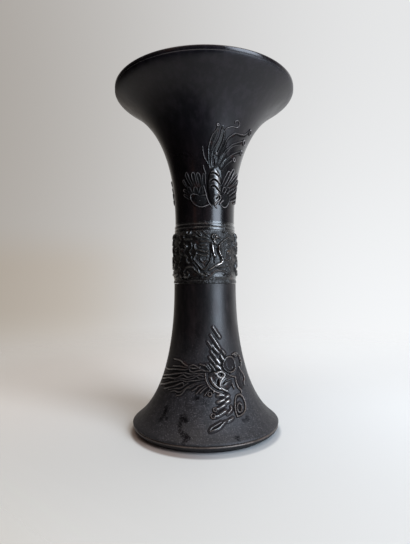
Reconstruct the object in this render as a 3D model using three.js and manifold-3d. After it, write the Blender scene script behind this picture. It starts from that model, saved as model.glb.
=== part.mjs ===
// A bronze cornet vase: two flared castings joined at the waist under a relief band,
// with a bird in relief on the front and the back of the neck and of the foot.
// Millimetres, +Z up, the floor at z = 0, the front faces -Y.

import * as THREE from 'three';
import { mergeVertices } from 'three/addons/utils/BufferGeometryUtils.js';
import Module from 'manifold-3d';

const wasm = await Module();
wasm.setup();

// Overall sizes
const HEIGHT = 300;
const MOUTH_RADIUS = 79.6;
const NECK_RADIUS = 26.5;
const STEM_RADIUS = 27.6;
const FOOT_RADIUS = 63.8;
const WALL = 2.8;
const CLEARANCE = 0.3;
const SEGMENTS = 36;

// Mouth: the flare leaves the neck upright and ends in an edge band
const MOUTH_EDGE_HEIGHT = 4;
const MOUTH_EDGE_ROUND = 1.3;
const NECK_FULLNESS = 0.87;
const MOUTH_CURL = 10.4;
const MOUTH_LEAN = THREE.MathUtils.degToRad(15);
const EDGE_STEPS = 4;
const FLARE_STEPS = 12;
const FLARE_CROWDING = 1.5;
const INNER_STEPS = 5;

// Waist: a sleeve between the shoulders of the two castings
const WAIST_HEIGHT = 127;
const BAND_LENGTH = 52.7;
const BAND_PROUD = 1.7;
const FILLET_LENGTH = 2.5;
const FILLET_PROUD = 0.5;
const COVE_LENGTH = 1.3;
const COLLAR_LENGTH = 1.7;
const BEAD_RADIUS = 1.5;
const BEAD_PROUD = 0.5;
const BEAD_COUNT = 2;

// Joint: a spigot on the upper casting stands in a socket on the lower one
const SHOULDER = 2.4;
const SOCKET_WALL = 2.4;
const SPIGOT_WALL = 2.4;
const SPIGOT_LENGTH = 40;
const BORE_TAPER = 18;
const SOLDER_THICKNESS = 2.4;
const LEDGE_THICKNESS = 14;
const PIN_RADIUS = 2;
const PIN_COUNT = 4;
const PIN_SEGMENTS = 12;
const PIN_HEAD_RISE = 0.8;
const PIN_HEAD_FLAT = 1.2;
const PIN_DROP = 26;

// Foot: edge band, standing ring, and a plate let in from below
const FOOT_FULLNESS = 0.97;
const FOOT_SWELL = 8.2;
const FOOT_RISE = 4.2;
const FOOT_EDGE_INSET = 0.7;
const FOOT_EDGE_HEIGHT = 4;
const FOOT_LIFT = 2;
const STAND_INSET = 4.6;
const STAND_WIDTH = 3.7;
const PLATE_RECESS = 4;
const PLATE_THICKNESS = 2.5;
const PLATE_LEDGE = 3;
const BASE_FILLET = 2;
const RING_LENGTH = 16;

// Relief: the layouts further down are drawn on a flat sheet in units of this length
const LAYOUT_UNIT = 1;
const BIRD_RISE = 1.1;
const BODY_RISE = 2;
const SHOULDER_RISE = 1.6;
const ARM_RISE = 1.5;
const HEAD_RISE = 1.8;
const BACK_HOLLOW = 0.8;
const FEATHER_HALF_WIDTH = 1.6;
const PLUME_HALF_WIDTH = 1.1;
const PLUME_EYE_HALF_WIDTH = 2.1;
const PLUME_EYE_LENGTH = 6;
const PLUME_TIP_HALF_WIDTH = 0.55;
const ARM_HALF_WIDTH = 2.6;
const HEAD_HALF_WIDTH = 2.4;
const RIDGE_STEP = 6.4;
const SCROLL_RISE = 1.4;
const SCROLL_HALF_WIDTH = 1.3;
const SCROLL_ROOT = 0.6;
const SCROLL_STEP = 3.6;
const CURL_RADIUS = 4;
const CURL_TURNS = 1.3;
const CURL_CLOSING = 0.75;
const CURL_POINTS = 8;
const FOOT_BIRD_MARGIN = 2.6;

// Shares that shape the relief: a rib's least crown, its width at its two ends, and a dome's levels
const LEAST_CROWN = 0.55;
const FEATHER_ENDS = [0.6, 0.5];
const ARM_ENDS = [1, 0.8];
const HEAD_ENDS = [1.2, 0.35];
const SCROLL_ENDS = [0.7, 0.5];
const CREST_LEAN = 0.1;
const DOME_HOLLOW_WIDTH = 0.6;
const DOME_HIP_WIDTH = 0.8;
const DOME_HIP_RISE = 0.7;
const DOME_CROWN_WIDTH = 0.35;
const BODY_SIDES = 14;
const SHOULDER_SIDES = 8;
const BAND_BIRD_SIDES = 8;
const LEAST_STEPS = 3;

const MERGE_DISTANCE = 1e-4;

// Finishes: bronze in several browns, and grey solder
const METALNESS = 0.7;
const UPPER_FINISH = { color: 0x2a2522, roughness: 0.4 };
const LOWER_FINISH = { color: 0x2e2926, roughness: 0.5 };
const BAND_FINISH = { color: 0x332b26, roughness: 0.45 };
const NECK_BIRD_FINISH = { color: 0x362e29, roughness: 0.42 };
const FOOT_BIRD_FINISH = { color: 0x3a322c, roughness: 0.48 };
const PIN_FINISH = { color: 0x4a3a2c, roughness: 0.5 };
const PLATE_FINISH = { color: 0x3a322b, roughness: 0.6 };
const SOLDER_FINISH = { color: 0x77736c, roughness: 0.55 };

// Heights and radii that follow from the sizes above
const waistTop = WAIST_HEIGHT + BAND_LENGTH + 2 * CLEARANCE;
const socketOuter = NECK_RADIUS - SHOULDER;
const socketInner = socketOuter - SOCKET_WALL;
const spigotOuter = socketInner - CLEARANCE;
const boreRadius = spigotOuter - SPIGOT_WALL;
const sleeveInner = socketOuter + CLEARANCE;
const bandRadius = NECK_RADIUS + BAND_PROUD;
const spigotEnd = waistTop - SPIGOT_LENGTH;
const ledgeTop = spigotEnd - 2 * CLEARANCE - SOLDER_THICKNESS;
const pinHeight = waistTop - PIN_DROP;
const standOuter = FOOT_RADIUS - STAND_INSET;
const standInner = standOuter - STAND_WIDTH;
const plateRadius = standInner - CLEARANCE;
const plateTop = PLATE_RECESS + PLATE_THICKNESS;
const footTop = FOOT_LIFT + FOOT_EDGE_HEIGHT;
const footEnd = FOOT_RADIUS - FOOT_EDGE_INSET;

const v2 = (x, y) => new THREE.Vector2(x, y);

// The outer profile of each casting, as (radius, height)
const mouthTop = HEIGHT - MOUTH_EDGE_HEIGHT;
const mouthCurve = new THREE.CubicBezierCurve(
  v2(NECK_RADIUS, waistTop),
  v2(NECK_RADIUS, waistTop + NECK_FULLNESS * (mouthTop - waistTop)),
  v2(MOUTH_RADIUS - MOUTH_CURL * Math.sin(MOUTH_LEAN), mouthTop - MOUTH_CURL * Math.cos(MOUTH_LEAN)),
  v2(MOUTH_RADIUS, mouthTop),
);
const footCurve = new THREE.CubicBezierCurve(
  v2(STEM_RADIUS, WAIST_HEIGHT),
  v2(STEM_RADIUS, WAIST_HEIGHT - FOOT_FULLNESS * (WAIST_HEIGHT - footTop)),
  v2(footEnd + FOOT_SWELL, footTop + FOOT_RISE),
  v2(footEnd, footTop),
);

// The outward normal of a profile at a share u of its length
function profileNormal(curve, u) {
  const tangent = curve.getTangentAt(u);
  const side = tangent.y < 0 ? -1 : 1;
  return v2(side * tangent.y, -side * tangent.x);
}

// Points down a flare, closer together near the waist, where the relief lies
function outerWall(curve) {
  return Array.from({ length: FLARE_STEPS + 1 }, (_, i) => {
    return curve.getPoint((i / FLARE_STEPS) ** FLARE_CROWDING);
  });
}

// A profile moved inwards by the wall, between two shares of its length
function innerWall(curve, from, to, steps) {
  const points = [];
  for (let i = 0; i <= steps; i++) {
    const u = from + (to - from) * i / steps;
    const normal = profileNormal(curve, u);
    points.push(curve.getPointAt(u).addScaledVector(normal, -WALL));
  }
  return points;
}

// An arc from one direction to another, as points of a profile
function round(center, radius, from, to, steps) {
  return Array.from({ length: steps + 1 }, (_, i) => {
    const angle = from + (to - from) * i / steps;
    return v2(center.x + radius * Math.cos(angle), center.y + radius * Math.sin(angle));
  });
}

// A closed profile turned about the Z axis
function revolve(profile, segments = SEGMENTS) {
  const geometry = new THREE.LatheGeometry([...profile, profile[0]], segments);
  return geometry.rotateX(Math.PI / 2);
}

function toSolid(geometry) {
  const bare = geometry.clone();
  bare.deleteAttribute('normal');
  bare.deleteAttribute('uv');
  const merged = mergeVertices(bare, MERGE_DISTANCE);
  const solid = new wasm.Manifold(new wasm.Mesh({
    numProp: 3,
    vertProperties: new Float32Array(merged.attributes.position.array),
    triVerts: new Uint32Array(merged.index.array),
  }));
  return solid;
}

function toGeometry(solid) {
  const mesh = solid.getMesh();
  const geometry = new THREE.BufferGeometry();
  geometry.setAttribute('position', new THREE.BufferAttribute(mesh.vertProperties, 3));
  geometry.setIndex(new THREE.BufferAttribute(mesh.triVerts, 1));
  return geometry;
}

// A closed body through rings of points, each ring with the same number of points
function loft(rings) {
  const count = rings[0].length;
  const index = [];
  for (let r = 0; r + 1 < rings.length; r++) {
    for (let i = 0; i < count; i++) {
      const a = r * count + i;
      const b = r * count + (i + 1) % count;
      index.push(a, b, b + count, a, b + count, a + count);
    }
  }
  const last = (rings.length - 1) * count;
  for (let i = 1; i + 1 < count; i++) {
    index.push(0, i + 1, i, last, last + i, last + i + 1);
  }
  const geometry = new THREE.BufferGeometry().setFromPoints(rings.flat());
  geometry.setIndex(index);
  return geometry;
}

// A raised rib with a crest line, along a curve of the flat sheet. width gives its half width at each
// share of its length, and place() puts a point of the sheet, at a rise, in space.
function rib({ curve, width, rise, root, shares, place }) {
  const widest = Math.max(...shares.map(width));
  const rings = shares.map((t) => {
    const point = curve.getPointAt(t);
    const along = curve.getTangentAt(t);
    const half = width(t);
    const crown = rise * (LEAST_CROWN + (1 - LEAST_CROWN) * half / widest);
    const at = (side, height) => place(point.x - along.y * side, point.y + along.x * side, height);
    return [at(-half, root), at(half, root), at(0, crown)];
  });
  return toSolid(loft(rings));
}

// Even shares of a curve's length, about a step apart
function evenShares(curve, step) {
  const count = Math.max(LEAST_STEPS, Math.round(curve.getLength() / step));
  return Array.from({ length: count + 1 }, (_, i) => i / count);
}

// A half width that narrows towards both ends of a rib to the two given shares
function narrowing(halfWidth, [first, last]) {
  return (t) => halfWidth * (1 - (1 - first) * (1 - t) ** 3 - (1 - last) * t ** 3);
}

// A point of a layout, in millimetres on the flat sheet
const onSheet = ([x, y]) => v2(x * LAYOUT_UNIT, y * LAYOUT_UNIT);

// A low dome with an oval base on the flat sheet, hollowed underneath where hollow is over the root
function dome({ x, y, halfWidth, halfLength, tilt }, { rise, root, hollow, sides, place }) {
  const middle = onSheet([x, y]);
  const reach = onSheet([halfWidth, halfLength]);
  const levels = [[1, root], [DOME_HIP_WIDTH, rise * DOME_HIP_RISE], [DOME_CROWN_WIDTH, rise]];
  if (hollow > root) levels.unshift([DOME_HOLLOW_WIDTH, hollow]);
  const rings = levels.map(([share, height]) => Array.from({ length: sides }, (_, i) => {
    const angle = 2 * Math.PI * i / sides;
    const point = v2(reach.x * share * Math.cos(angle), reach.y * share * Math.sin(angle));
    point.rotateAround(v2(0, 0), tilt).add(middle);
    return place(point.x, point.y, height);
  }));
  return toSolid(loft(rings));
}

// A bird is joined flat, then bent on to the wall
const flat = (x, y, rise) => new THREE.Vector3(x, y, rise);
const bend = (points) => points.length === 2
  ? new THREE.LineCurve(...points.map(onSheet))
  : new THREE.SplineCurve(points.map(onSheet));

// Points along a wing's root line or tip line
function alongLine(points, count) {
  const line = bend(points);
  return Array.from({ length: count }, (_, k) => line.getPointAt(k / (count - 1)));
}

function feather(root, tip, lean) {
  const middle = root.clone().lerp(tip, 0.5);
  const across = tip.clone().sub(root);
  middle.add(v2(-across.y, across.x).multiplyScalar(lean));
  const curve = new THREE.QuadraticBezierCurve(root, middle, tip);
  return rib({
    curve,
    width: narrowing(FEATHER_HALF_WIDTH, FEATHER_ENDS),
    rise: BIRD_RISE,
    root: 0,
    shares: evenShares(curve, RIDGE_STEP),
    place: flat,
  });
}

function wingPieces({ shoulder, arm, roots, tips, count, lean }) {
  const rootPoints = alongLine(roots, count);
  const tipPoints = alongLine(tips, count);
  const pieces = rootPoints.map((root, k) => feather(root, tipPoints[k], lean));
  pieces.push(dome(shoulder, {
    rise: SHOULDER_RISE, root: 0, hollow: BACK_HOLLOW, sides: SHOULDER_SIDES, place: flat,
  }));
  const armCurve = bend(arm);
  pieces.push(rib({
    curve: armCurve,
    width: narrowing(ARM_HALF_WIDTH, ARM_ENDS),
    rise: ARM_RISE,
    root: BACK_HOLLOW,
    shares: evenShares(armCurve, RIDGE_STEP),
    place: flat,
  }));
  return pieces;
}

// A tail plume: a slim shaft that widens into an eye at its tip
function plume(points) {
  const curve = bend(points);
  const eyeStart = 1 - PLUME_EYE_LENGTH / curve.getLength();
  const eyeMiddle = (1 + eyeStart) / 2;
  const shaftEnd = eyeStart - PLUME_EYE_LENGTH / 2 / curve.getLength();
  const shaft = evenShares(curve, RIDGE_STEP).filter((t) => t < shaftEnd);
  const width = (t) => {
    if (t === 1) return PLUME_TIP_HALF_WIDTH;
    return t > eyeStart ? PLUME_EYE_HALF_WIDTH : PLUME_HALF_WIDTH;
  };
  return rib({
    curve, width, rise: BIRD_RISE, root: 0, shares: [...shaft, eyeStart, eyeMiddle, 1], place: flat,
  });
}

function birdPieces({ body, head, crest, wings, plumes }) {
  const pieces = [dome(body, {
    rise: BODY_RISE, root: 0, hollow: BACK_HOLLOW, sides: BODY_SIDES, place: flat,
  })];
  const headCurve = bend(head);
  pieces.push(rib({
    curve: headCurve,
    width: narrowing(HEAD_HALF_WIDTH, HEAD_ENDS),
    rise: HEAD_RISE,
    root: 0,
    shares: evenShares(headCurve, RIDGE_STEP),
    place: flat,
  }));
  crest.forEach(([from, to]) => pieces.push(feather(onSheet(from), onSheet(to), CREST_LEAN)));
  wings.forEach((wing) => pieces.push(...wingPieces(wing)));
  plumes.forEach((points) => pieces.push(plume(points)));
  return pieces;
}

// The neck bird dives, head down and tail up. x runs round the wall, y up along it from the waist.
const neckBird = {
  body: { x: 9, y: 27, halfWidth: 5, halfLength: 15.5, tilt: 0 },
  head: [[9, 17], [11.5, 13.5], [15.5, 12.6]],
  crest: [],
  wings: [
    {
      shoulder: { x: -3.5, y: 16.6, halfWidth: 7, halfLength: 5, tilt: 0.1 },
      arm: [[8, 19], [-2, 18]],
      roots: [[2.4, 19.5], [-3.5, 20], [-8.6, 15.5]],
      tips: [[0.6, 40], [-12.5, 41], [-19.5, 21]],
      count: 6,
      lean: 0.1,
    },
    {
      shoulder: { x: 20.5, y: 17, halfWidth: 6.6, halfLength: 5, tilt: -0.1 },
      arm: [[10, 19], [19, 18.4]],
      roots: [[15.6, 20], [21.5, 20.5], [26.4, 16.5]],
      tips: [[22.5, 42], [36, 43], [39, 25]],
      count: 6,
      lean: -0.1,
    },
  ],
  plumes: [
    [[5.6, 35], [3.2, 55], [11, 77]],
    [[8, 40], [10, 59], [15.6, 76]],
    [[10.2, 39], [16, 64], [31, 81.6]],
    [[11.4, 38], [19, 63], [50, 79.5]],
    [[12, 36.5], [20, 57.5], [42.3, 69.4]],
    [[13, 33], [20.5, 50], [40, 60.8]],
  ],
};

// The foot bird flies to the right, one wing up and one down, with its tail streaming to the left.
// x runs round the wall, y up along it from the edge of the foot.
const footBird = {
  body: { x: 12, y: 47.5, halfWidth: 8.4, halfLength: 12.5, tilt: THREE.MathUtils.degToRad(81) },
  head: [[20, 47], [29, 46], [32.5, 52], [36.5, 56.5]],
  crest: [[[31.5, 52], [29, 66]], [[32.5, 53], [34.5, 68]]],
  wings: [
    {
      shoulder: { x: 20.6, y: 61, halfWidth: 6.3, halfLength: 6, tilt: 0.3 },
      arm: [[15, 50], [20, 60]],
      roots: [[20.5, 65], [17, 62], [16.6, 57]],
      tips: [[5, 92.5], [2.5, 79], [0.4, 62.5]],
      count: 6,
      lean: 0.08,
    },
    {
      shoulder: { x: 29.6, y: 27.8, halfWidth: 5, halfLength: 8.2, tilt: -0.1 },
      arm: [[16, 44], [28, 32]],
      roots: [[17.5, 41], [24.5, 34], [27.6, 23.5]],
      tips: [[3.4, 37], [4.6, 24], [2.6, 10]],
      count: 6,
      lean: -0.08,
    },
  ],
  plumes: [
    [[5.5, 54.5], [-9, 60.4], [-21.8, 63.6]],
    [[2.6, 52], [-14, 56], [-30, 56.4]],
    [[1.4, 49.3], [-16, 50.4], [-36.5, 47.8]],
    [[2.4, 46.4], [-12, 45], [-27, 39.4]],
    [[5.4, 43.6], [-3, 41.4], [-10, 36.6]],
  ],
};

// A bird joined flat and bent on to a wall: curve is the wall's profile,
// start the end that y is counted from
function birdGeometry(bird, curve, start, turn) {
  const joined = birdPieces(bird).reduce((whole, piece) => whole.add(piece));
  const geometry = toGeometry(joined);
  const length = curve.getLength();
  const position = geometry.attributes.position;
  for (let i = 0; i < position.count; i++) {
    const up = position.getY(i) / length;
    const u = start === 'top' ? up : 1 - up - FOOT_BIRD_MARGIN / length;
    const wall = curve.getPointAt(u);
    const normal = profileNormal(curve, u);
    const angle = turn - Math.PI / 2 + position.getX(i) / wall.x;
    wall.addScaledVector(normal, CLEARANCE + position.getZ(i));
    position.setXYZ(i, wall.x * Math.cos(angle), wall.x * Math.sin(angle), wall.y);
  }
  return geometry;
}

// The pins stand halfway between the front, the sides and the back
function pinTurn(k) {
  return 2 * Math.PI * (k + 0.5) / PIN_COUNT;
}

// A radial cylinder at a pin's place, as a hole or as the pin itself
function radialPin(radius, from, to, headRise, k) {
  const profile = [v2(0, from), v2(radius, from), v2(radius, to)];
  if (headRise > 0) profile.push(v2(PIN_HEAD_FLAT, to + headRise));
  profile.push(v2(0, to + headRise));
  const geometry = revolve(profile, PIN_SEGMENTS);
  geometry.rotateY(Math.PI / 2);
  geometry.rotateZ(pinTurn(k));
  return geometry.translate(0, 0, pinHeight);
}

function cutPinHoles(solid) {
  let cut = solid;
  for (let k = 0; k < PIN_COUNT; k++) {
    const hole = radialPin(PIN_RADIUS + CLEARANCE, boreRadius / 2, bandRadius + 2 * SCROLL_RISE, 0, k);
    cut = cut.subtract(toSolid(hole));
  }
  return toGeometry(cut);
}

function upperTrumpet() {
  const edge = v2(MOUTH_RADIUS - MOUTH_EDGE_ROUND, HEIGHT - MOUTH_EDGE_ROUND);
  const inner = innerWall(mouthCurve, 1, BORE_TAPER / mouthCurve.getLength(), INNER_STEPS);
  const profile = [
    v2(boreRadius, spigotEnd),
    v2(spigotOuter, spigotEnd),
    v2(spigotOuter, waistTop),
    ...outerWall(mouthCurve),
    ...round(edge, MOUTH_EDGE_ROUND, 0, Math.PI, EDGE_STEPS),
    ...inner,
    v2(boreRadius, waistTop),
  ];
  return cutPinHoles(toSolid(revolve(profile)));
}

function lowerTrumpet() {
  const ledgeBottom = ledgeTop - LEDGE_THICKNESS;
  const length = footCurve.getLength();
  const taperEnd = (WAIST_HEIGHT - ledgeBottom + BORE_TAPER) / length;
  const inner = innerWall(footCurve, taperEnd, 1 - RING_LENGTH / length, INNER_STEPS);
  const cavity = inner[inner.length - 1];
  const plateSeat = plateTop + CLEARANCE;
  const ledgeInner = standInner - PLATE_LEDGE;
  const edge = FOOT_EDGE_INSET;
  const profile = [
    v2(boreRadius, ledgeBottom),
    ...inner,
    v2(Math.min(ledgeInner, cavity.x), plateSeat),
    v2(standInner, plateSeat),
    v2(standInner, 0),
    v2(standOuter, 0),
    v2(standOuter, FOOT_LIFT),
    v2(FOOT_RADIUS - edge, FOOT_LIFT),
    v2(FOOT_RADIUS, FOOT_LIFT + edge),
    v2(FOOT_RADIUS, footTop - edge),
    ...outerWall(footCurve).reverse(),
    v2(socketOuter, WAIST_HEIGHT),
    v2(socketOuter, waistTop - CLEARANCE),
    v2(socketInner, waistTop - CLEARANCE),
    v2(socketInner, ledgeTop),
    v2(boreRadius, ledgeTop),
  ];
  return cutPinHoles(toSolid(revolve(profile)));
}

// The band's relief, one half of the way round: x runs round the sleeve, y up from its lower edge
const bandRidges = [
  [[20.6, 38.4], [12.4, 31.4], [14.8, 19], [7.6, 13.6], [-3, 8]],
  [[23, 40], [29, 37], [33, 30]],
  [[-8.6, 24.4], [-8.6, 18.6], [-1.9, 11.2], [3.6, 18]],
  [[-9.4, 34], [-7.8, 28.2], [2, 27]],
  [[-29, 40], [-33, 29], [-27, 14]],
  [[19, 15.4], [27, 8], [36, 14]],
];
const bandCurls = [
  { x: -14.4, y: 38.4, hand: 1 },
  { x: -16.6, y: 9.4, hand: -1 },
  { x: 40, y: 30, hand: -1 },
];
const bandBird = { x: 7, y: 38.4, halfWidth: 2.8, halfLength: 2.4, tilt: 0 };

function curl({ x, y, hand }) {
  const middle = onSheet([x, y]);
  const points = Array.from({ length: CURL_POINTS + 1 }, (_, i) => {
    const t = i / CURL_POINTS;
    const angle = hand * 2 * Math.PI * CURL_TURNS * t;
    const reach = CURL_RADIUS * (1 - CURL_CLOSING * t);
    return v2(middle.x + reach * Math.cos(angle), middle.y + reach * Math.sin(angle));
  });
  return new THREE.SplineCurve(points);
}

function bandProfile() {
  const base = WAIST_HEIGHT + CLEARANCE;
  const top = base + BAND_LENGTH;
  const filletTop = base + FILLET_LENGTH;
  const beads = [];
  const beadBase = top - COLLAR_LENGTH - BEAD_COUNT * 2 * BEAD_RADIUS;
  for (let k = 0; k < BEAD_COUNT; k++) {
    const middle = beadBase + (2 * k + 1) * BEAD_RADIUS;
    beads.push(v2(NECK_RADIUS, middle - BEAD_RADIUS));
    beads.push(v2(NECK_RADIUS + BEAD_PROUD, middle - BEAD_RADIUS / 2));
    beads.push(v2(NECK_RADIUS + BEAD_PROUD, middle + BEAD_RADIUS / 2));
  }
  return [
    v2(sleeveInner, base),
    v2(STEM_RADIUS + FILLET_PROUD, base),
    v2(STEM_RADIUS + FILLET_PROUD, filletTop),
    v2(STEM_RADIUS, filletTop + COVE_LENGTH / 2),
    v2(bandRadius, filletTop + COVE_LENGTH),
    v2(bandRadius, beadBase - COVE_LENGTH),
    ...beads,
    v2(NECK_RADIUS, top - COLLAR_LENGTH),
    v2(NECK_RADIUS, top),
    v2(sleeveInner, top),
  ];
}

function reliefBand() {
  const base = WAIST_HEIGHT + CLEARANCE;
  let solid = toSolid(revolve(bandProfile()));
  for (const turn of [0, Math.PI]) {
    const place = (x, y, rise) => {
      const angle = turn - Math.PI / 2 + x / bandRadius;
      const reach = bandRadius + rise;
      return new THREE.Vector3(reach * Math.cos(angle), reach * Math.sin(angle), base + y);
    };
    for (const curve of [...bandRidges.map(bend), ...bandCurls.map(curl)]) {
      solid = solid.add(rib({
        curve,
        width: narrowing(SCROLL_HALF_WIDTH, SCROLL_ENDS),
        rise: SCROLL_RISE,
        root: -SCROLL_ROOT,
        shares: evenShares(curve, SCROLL_STEP),
        place,
      }));
    }
    solid = solid.add(dome(bandBird, {
      rise: SCROLL_RISE, root: -SCROLL_ROOT, hollow: -SCROLL_ROOT, sides: BAND_BIRD_SIDES, place,
    }));
  }
  return cutPinHoles(solid);
}

function jointSolderRing() {
  const base = ledgeTop + CLEARANCE;
  const top = base + SOLDER_THICKNESS;
  return revolve([
    v2(boreRadius, base), v2(spigotOuter, base), v2(spigotOuter, top), v2(boreRadius, top),
  ]);
}

function basePlate() {
  return revolve([
    v2(0, PLATE_RECESS), v2(plateRadius, PLATE_RECESS), v2(plateRadius, plateTop), v2(0, plateTop),
  ]);
}

function baseSolderRing() {
  const top = PLATE_RECESS - CLEARANCE;
  return revolve([
    v2(plateRadius - BASE_FILLET, top), v2(plateRadius, top - BASE_FILLET), v2(plateRadius, top),
  ]);
}

const vase = new THREE.Group();

function addPiece(name, geometry, finish) {
  geometry.computeVertexNormals();
  const mesh = new THREE.Mesh(geometry, new THREE.MeshStandardMaterial({ ...finish, metalness: METALNESS }));
  mesh.name = name;
  vase.add(mesh);
}

addPiece('upper_trumpet', upperTrumpet(), UPPER_FINISH);
addPiece('lower_trumpet', lowerTrumpet(), LOWER_FINISH);
addPiece('relief_band', reliefBand(), BAND_FINISH);
for (let k = 0; k < PIN_COUNT; k++) {
  const pin = radialPin(PIN_RADIUS, boreRadius, bandRadius, PIN_HEAD_RISE, k);
  addPiece(`joint_pin_${k + 1}`, pin, PIN_FINISH);
}
addPiece('joint_solder_ring', jointSolderRing(), SOLDER_FINISH);
addPiece('base_plate', basePlate(), PLATE_FINISH);
addPiece('base_solder_ring', baseSolderRing(), SOLDER_FINISH);
const sides = { front: 0, back: Math.PI };
for (const [side, turn] of Object.entries(sides)) {
  addPiece(`neck_bird_${side}`, birdGeometry(neckBird, mouthCurve, 'top', turn), NECK_BIRD_FINISH);
  addPiece(`foot_bird_${side}`, birdGeometry(footBird, footCurve, 'foot', turn), FOOT_BIRD_FINISH);
}

export default vase;
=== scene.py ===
# %% [markdown]
# A bronze cornet vase. Two flared castings meet at a waist that a relief band hides. A bird in
# relief dives down the neck and another flies across the foot, each on the front and on the back.
# The bronze is chemically darkened to a brown black, and handling has rubbed the high lines of the
# relief back to a warm brown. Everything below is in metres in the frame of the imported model, and
# the drawings of the relief are in millimetres, because a modeller thinks of a bird that way.

import math

import bmesh
import bpy
import numpy as np
from mathutils import Matrix, Vector


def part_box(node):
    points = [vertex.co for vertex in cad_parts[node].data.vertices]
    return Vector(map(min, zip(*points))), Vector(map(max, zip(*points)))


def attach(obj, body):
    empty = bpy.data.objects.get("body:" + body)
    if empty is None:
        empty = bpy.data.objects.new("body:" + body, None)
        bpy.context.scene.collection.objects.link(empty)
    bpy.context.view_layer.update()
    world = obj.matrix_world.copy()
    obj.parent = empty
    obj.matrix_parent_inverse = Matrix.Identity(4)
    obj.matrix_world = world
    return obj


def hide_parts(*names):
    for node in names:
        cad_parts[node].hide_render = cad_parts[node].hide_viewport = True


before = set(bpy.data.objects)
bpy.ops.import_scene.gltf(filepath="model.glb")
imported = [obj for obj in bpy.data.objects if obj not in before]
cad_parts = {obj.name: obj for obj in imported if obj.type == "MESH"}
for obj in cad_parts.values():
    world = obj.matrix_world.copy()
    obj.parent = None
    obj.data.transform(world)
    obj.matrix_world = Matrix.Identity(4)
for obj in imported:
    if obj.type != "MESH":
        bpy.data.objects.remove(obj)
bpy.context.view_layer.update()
scene = bpy.context.scene
MM = 0.001


def in_mm(*values):
    return [round(value / MM, 1) for value in values]


# %% [markdown]
# The photograph is taken with a phone from close by, a little below the middle of the vase. A camera
# this near shows the rim from below and the foot from above, so its place matters more than its lens.
# The lens comes from a focal length in pixels, because the sensor's width belongs to the long side.

# %% Camera
PHOTO_SIZE = (410, 544)
FOCAL_PIXELS = 409.7
CAMERA_PLACE = (0.0, -0.3703, 0.1300)
CAMERA_PITCH = math.radians(1.16)
CAMERA_ROLL = math.radians(-0.30)

camera_data = bpy.data.cameras.new("photo_camera")
camera_data.lens = camera_data.sensor_width * FOCAL_PIXELS / max(PHOTO_SIZE)
camera_data.clip_start = 0.01
camera = bpy.data.objects.new("photo_camera", camera_data)
scene.collection.objects.link(camera)
upright = Matrix.Rotation(math.pi / 2 + CAMERA_PITCH, 4, "X")
camera.matrix_world = Matrix.Translation(CAMERA_PLACE) @ upright @ Matrix.Rotation(CAMERA_ROLL, 4, "Z")
scene.camera = camera
scene.view_settings.view_transform = "Standard"
print("lens in mm:", round(camera_data.lens, 2))

# %% [markdown]
# A material in Blender is a graph of nodes. Written out node by node, a graph is hard to read, so
# two small classes help. A Wire is one output of a node, and sums on wires add the Math nodes that
# work them out. A Finish is the graph of one material, or of the world, and all its other nodes come
# from one method.

# %% Shader arithmetic
class Wire:
    """One output of a node. Arithmetic on it adds Math nodes."""

    def __init__(self, finish, socket):
        self.finish = finish
        self.socket = socket

    def sum(self, operation, first, second):
        return self.finish.node("ShaderNodeMath", {"operation": operation}, {0: first, 1: second})

    def __add__(self, other):
        return self.sum("ADD", self, other)

    def __sub__(self, other):
        return self.sum("SUBTRACT", self, other)

    def __rsub__(self, other):
        return self.sum("SUBTRACT", other, self)

    def __mul__(self, other):
        return self.sum("MULTIPLY", self, other)

    __radd__ = __add__
    __rmul__ = __mul__


class Finish:
    """The node graph of a material or of the world."""

    def __init__(self, owner):
        owner.use_nodes = True
        self.owner = owner
        self.tree = owner.node_tree
        self.tree.nodes.clear()

    def node(self, kind, settings=None, values=None, out=0):
        node = self.tree.nodes.new(kind)
        for name, value in (settings or {}).items():
            setattr(node, name, value)
        for name, value in (values or {}).items():
            if isinstance(value, Wire):
                self.tree.links.new(value.socket, node.inputs[name])
            else:
                node.inputs[name].default_value = value
        return Wire(self, node.outputs[out]) if node.outputs else None

    def place(self):
        return self.node("ShaderNodeTexCoord", out="Object")

    def axis(self, vector, letter):
        return self.node("ShaderNodeSeparateXYZ", None, {"Vector": vector}, letter)

    def far_from(self, middle):
        """The distance of each point from a place, in metres."""
        values = {0: self.place(), 1: middle}
        return self.node("ShaderNodeVectorMath", {"operation": "DISTANCE"}, values, "Value")

    def grain(self, size_mm, detail=4.0, roughness=0.55, stretch=None):
        """Noise with lumps about size_mm across, from 0 to 1."""
        where = self.place()
        if stretch:
            where = self.node("ShaderNodeMapping", None, {"Vector": where, "Scale": stretch})
        values = {"Vector": where, "Scale": 1 / (size_mm * MM), "Detail": detail, "Roughness": roughness}
        return self.node("ShaderNodeTexNoise", None, values)

    def between(self, value, low, high):
        """0 below low, 1 above high, smooth in the middle. low may be the higher number."""
        values = {"Value": value, "From Min": low, "From Max": high}
        return self.node("ShaderNodeMapRange", {"interpolation_type": "SMOOTHSTEP"}, values)

    def blend(self, share, first, second):
        values = {0: share, 6: first, 7: second}
        return self.node("ShaderNodeMix", {"data_type": "RGBA"}, values, 2)

    def tint(self, share, colour, by):
        values = {0: share, 6: colour, 7: by}
        return self.node("ShaderNodeMix", {"data_type": "RGBA", "blend_type": "MULTIPLY"}, values, 2)


def rgb(red, green, blue):
    """A colour as a picture shows it, from 0 to 255, turned into the linear light that nodes use."""
    shares = [value / 255 for value in (red, green, blue)]
    return (*[s / 12.92 if s <= 0.04045 else ((s + 0.055) / 1.055) ** 2.4 for s in shares], 1.0)


print("a mid grey in linear light:", [round(v, 3) for v in rgb(128, 128, 128)])
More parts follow.
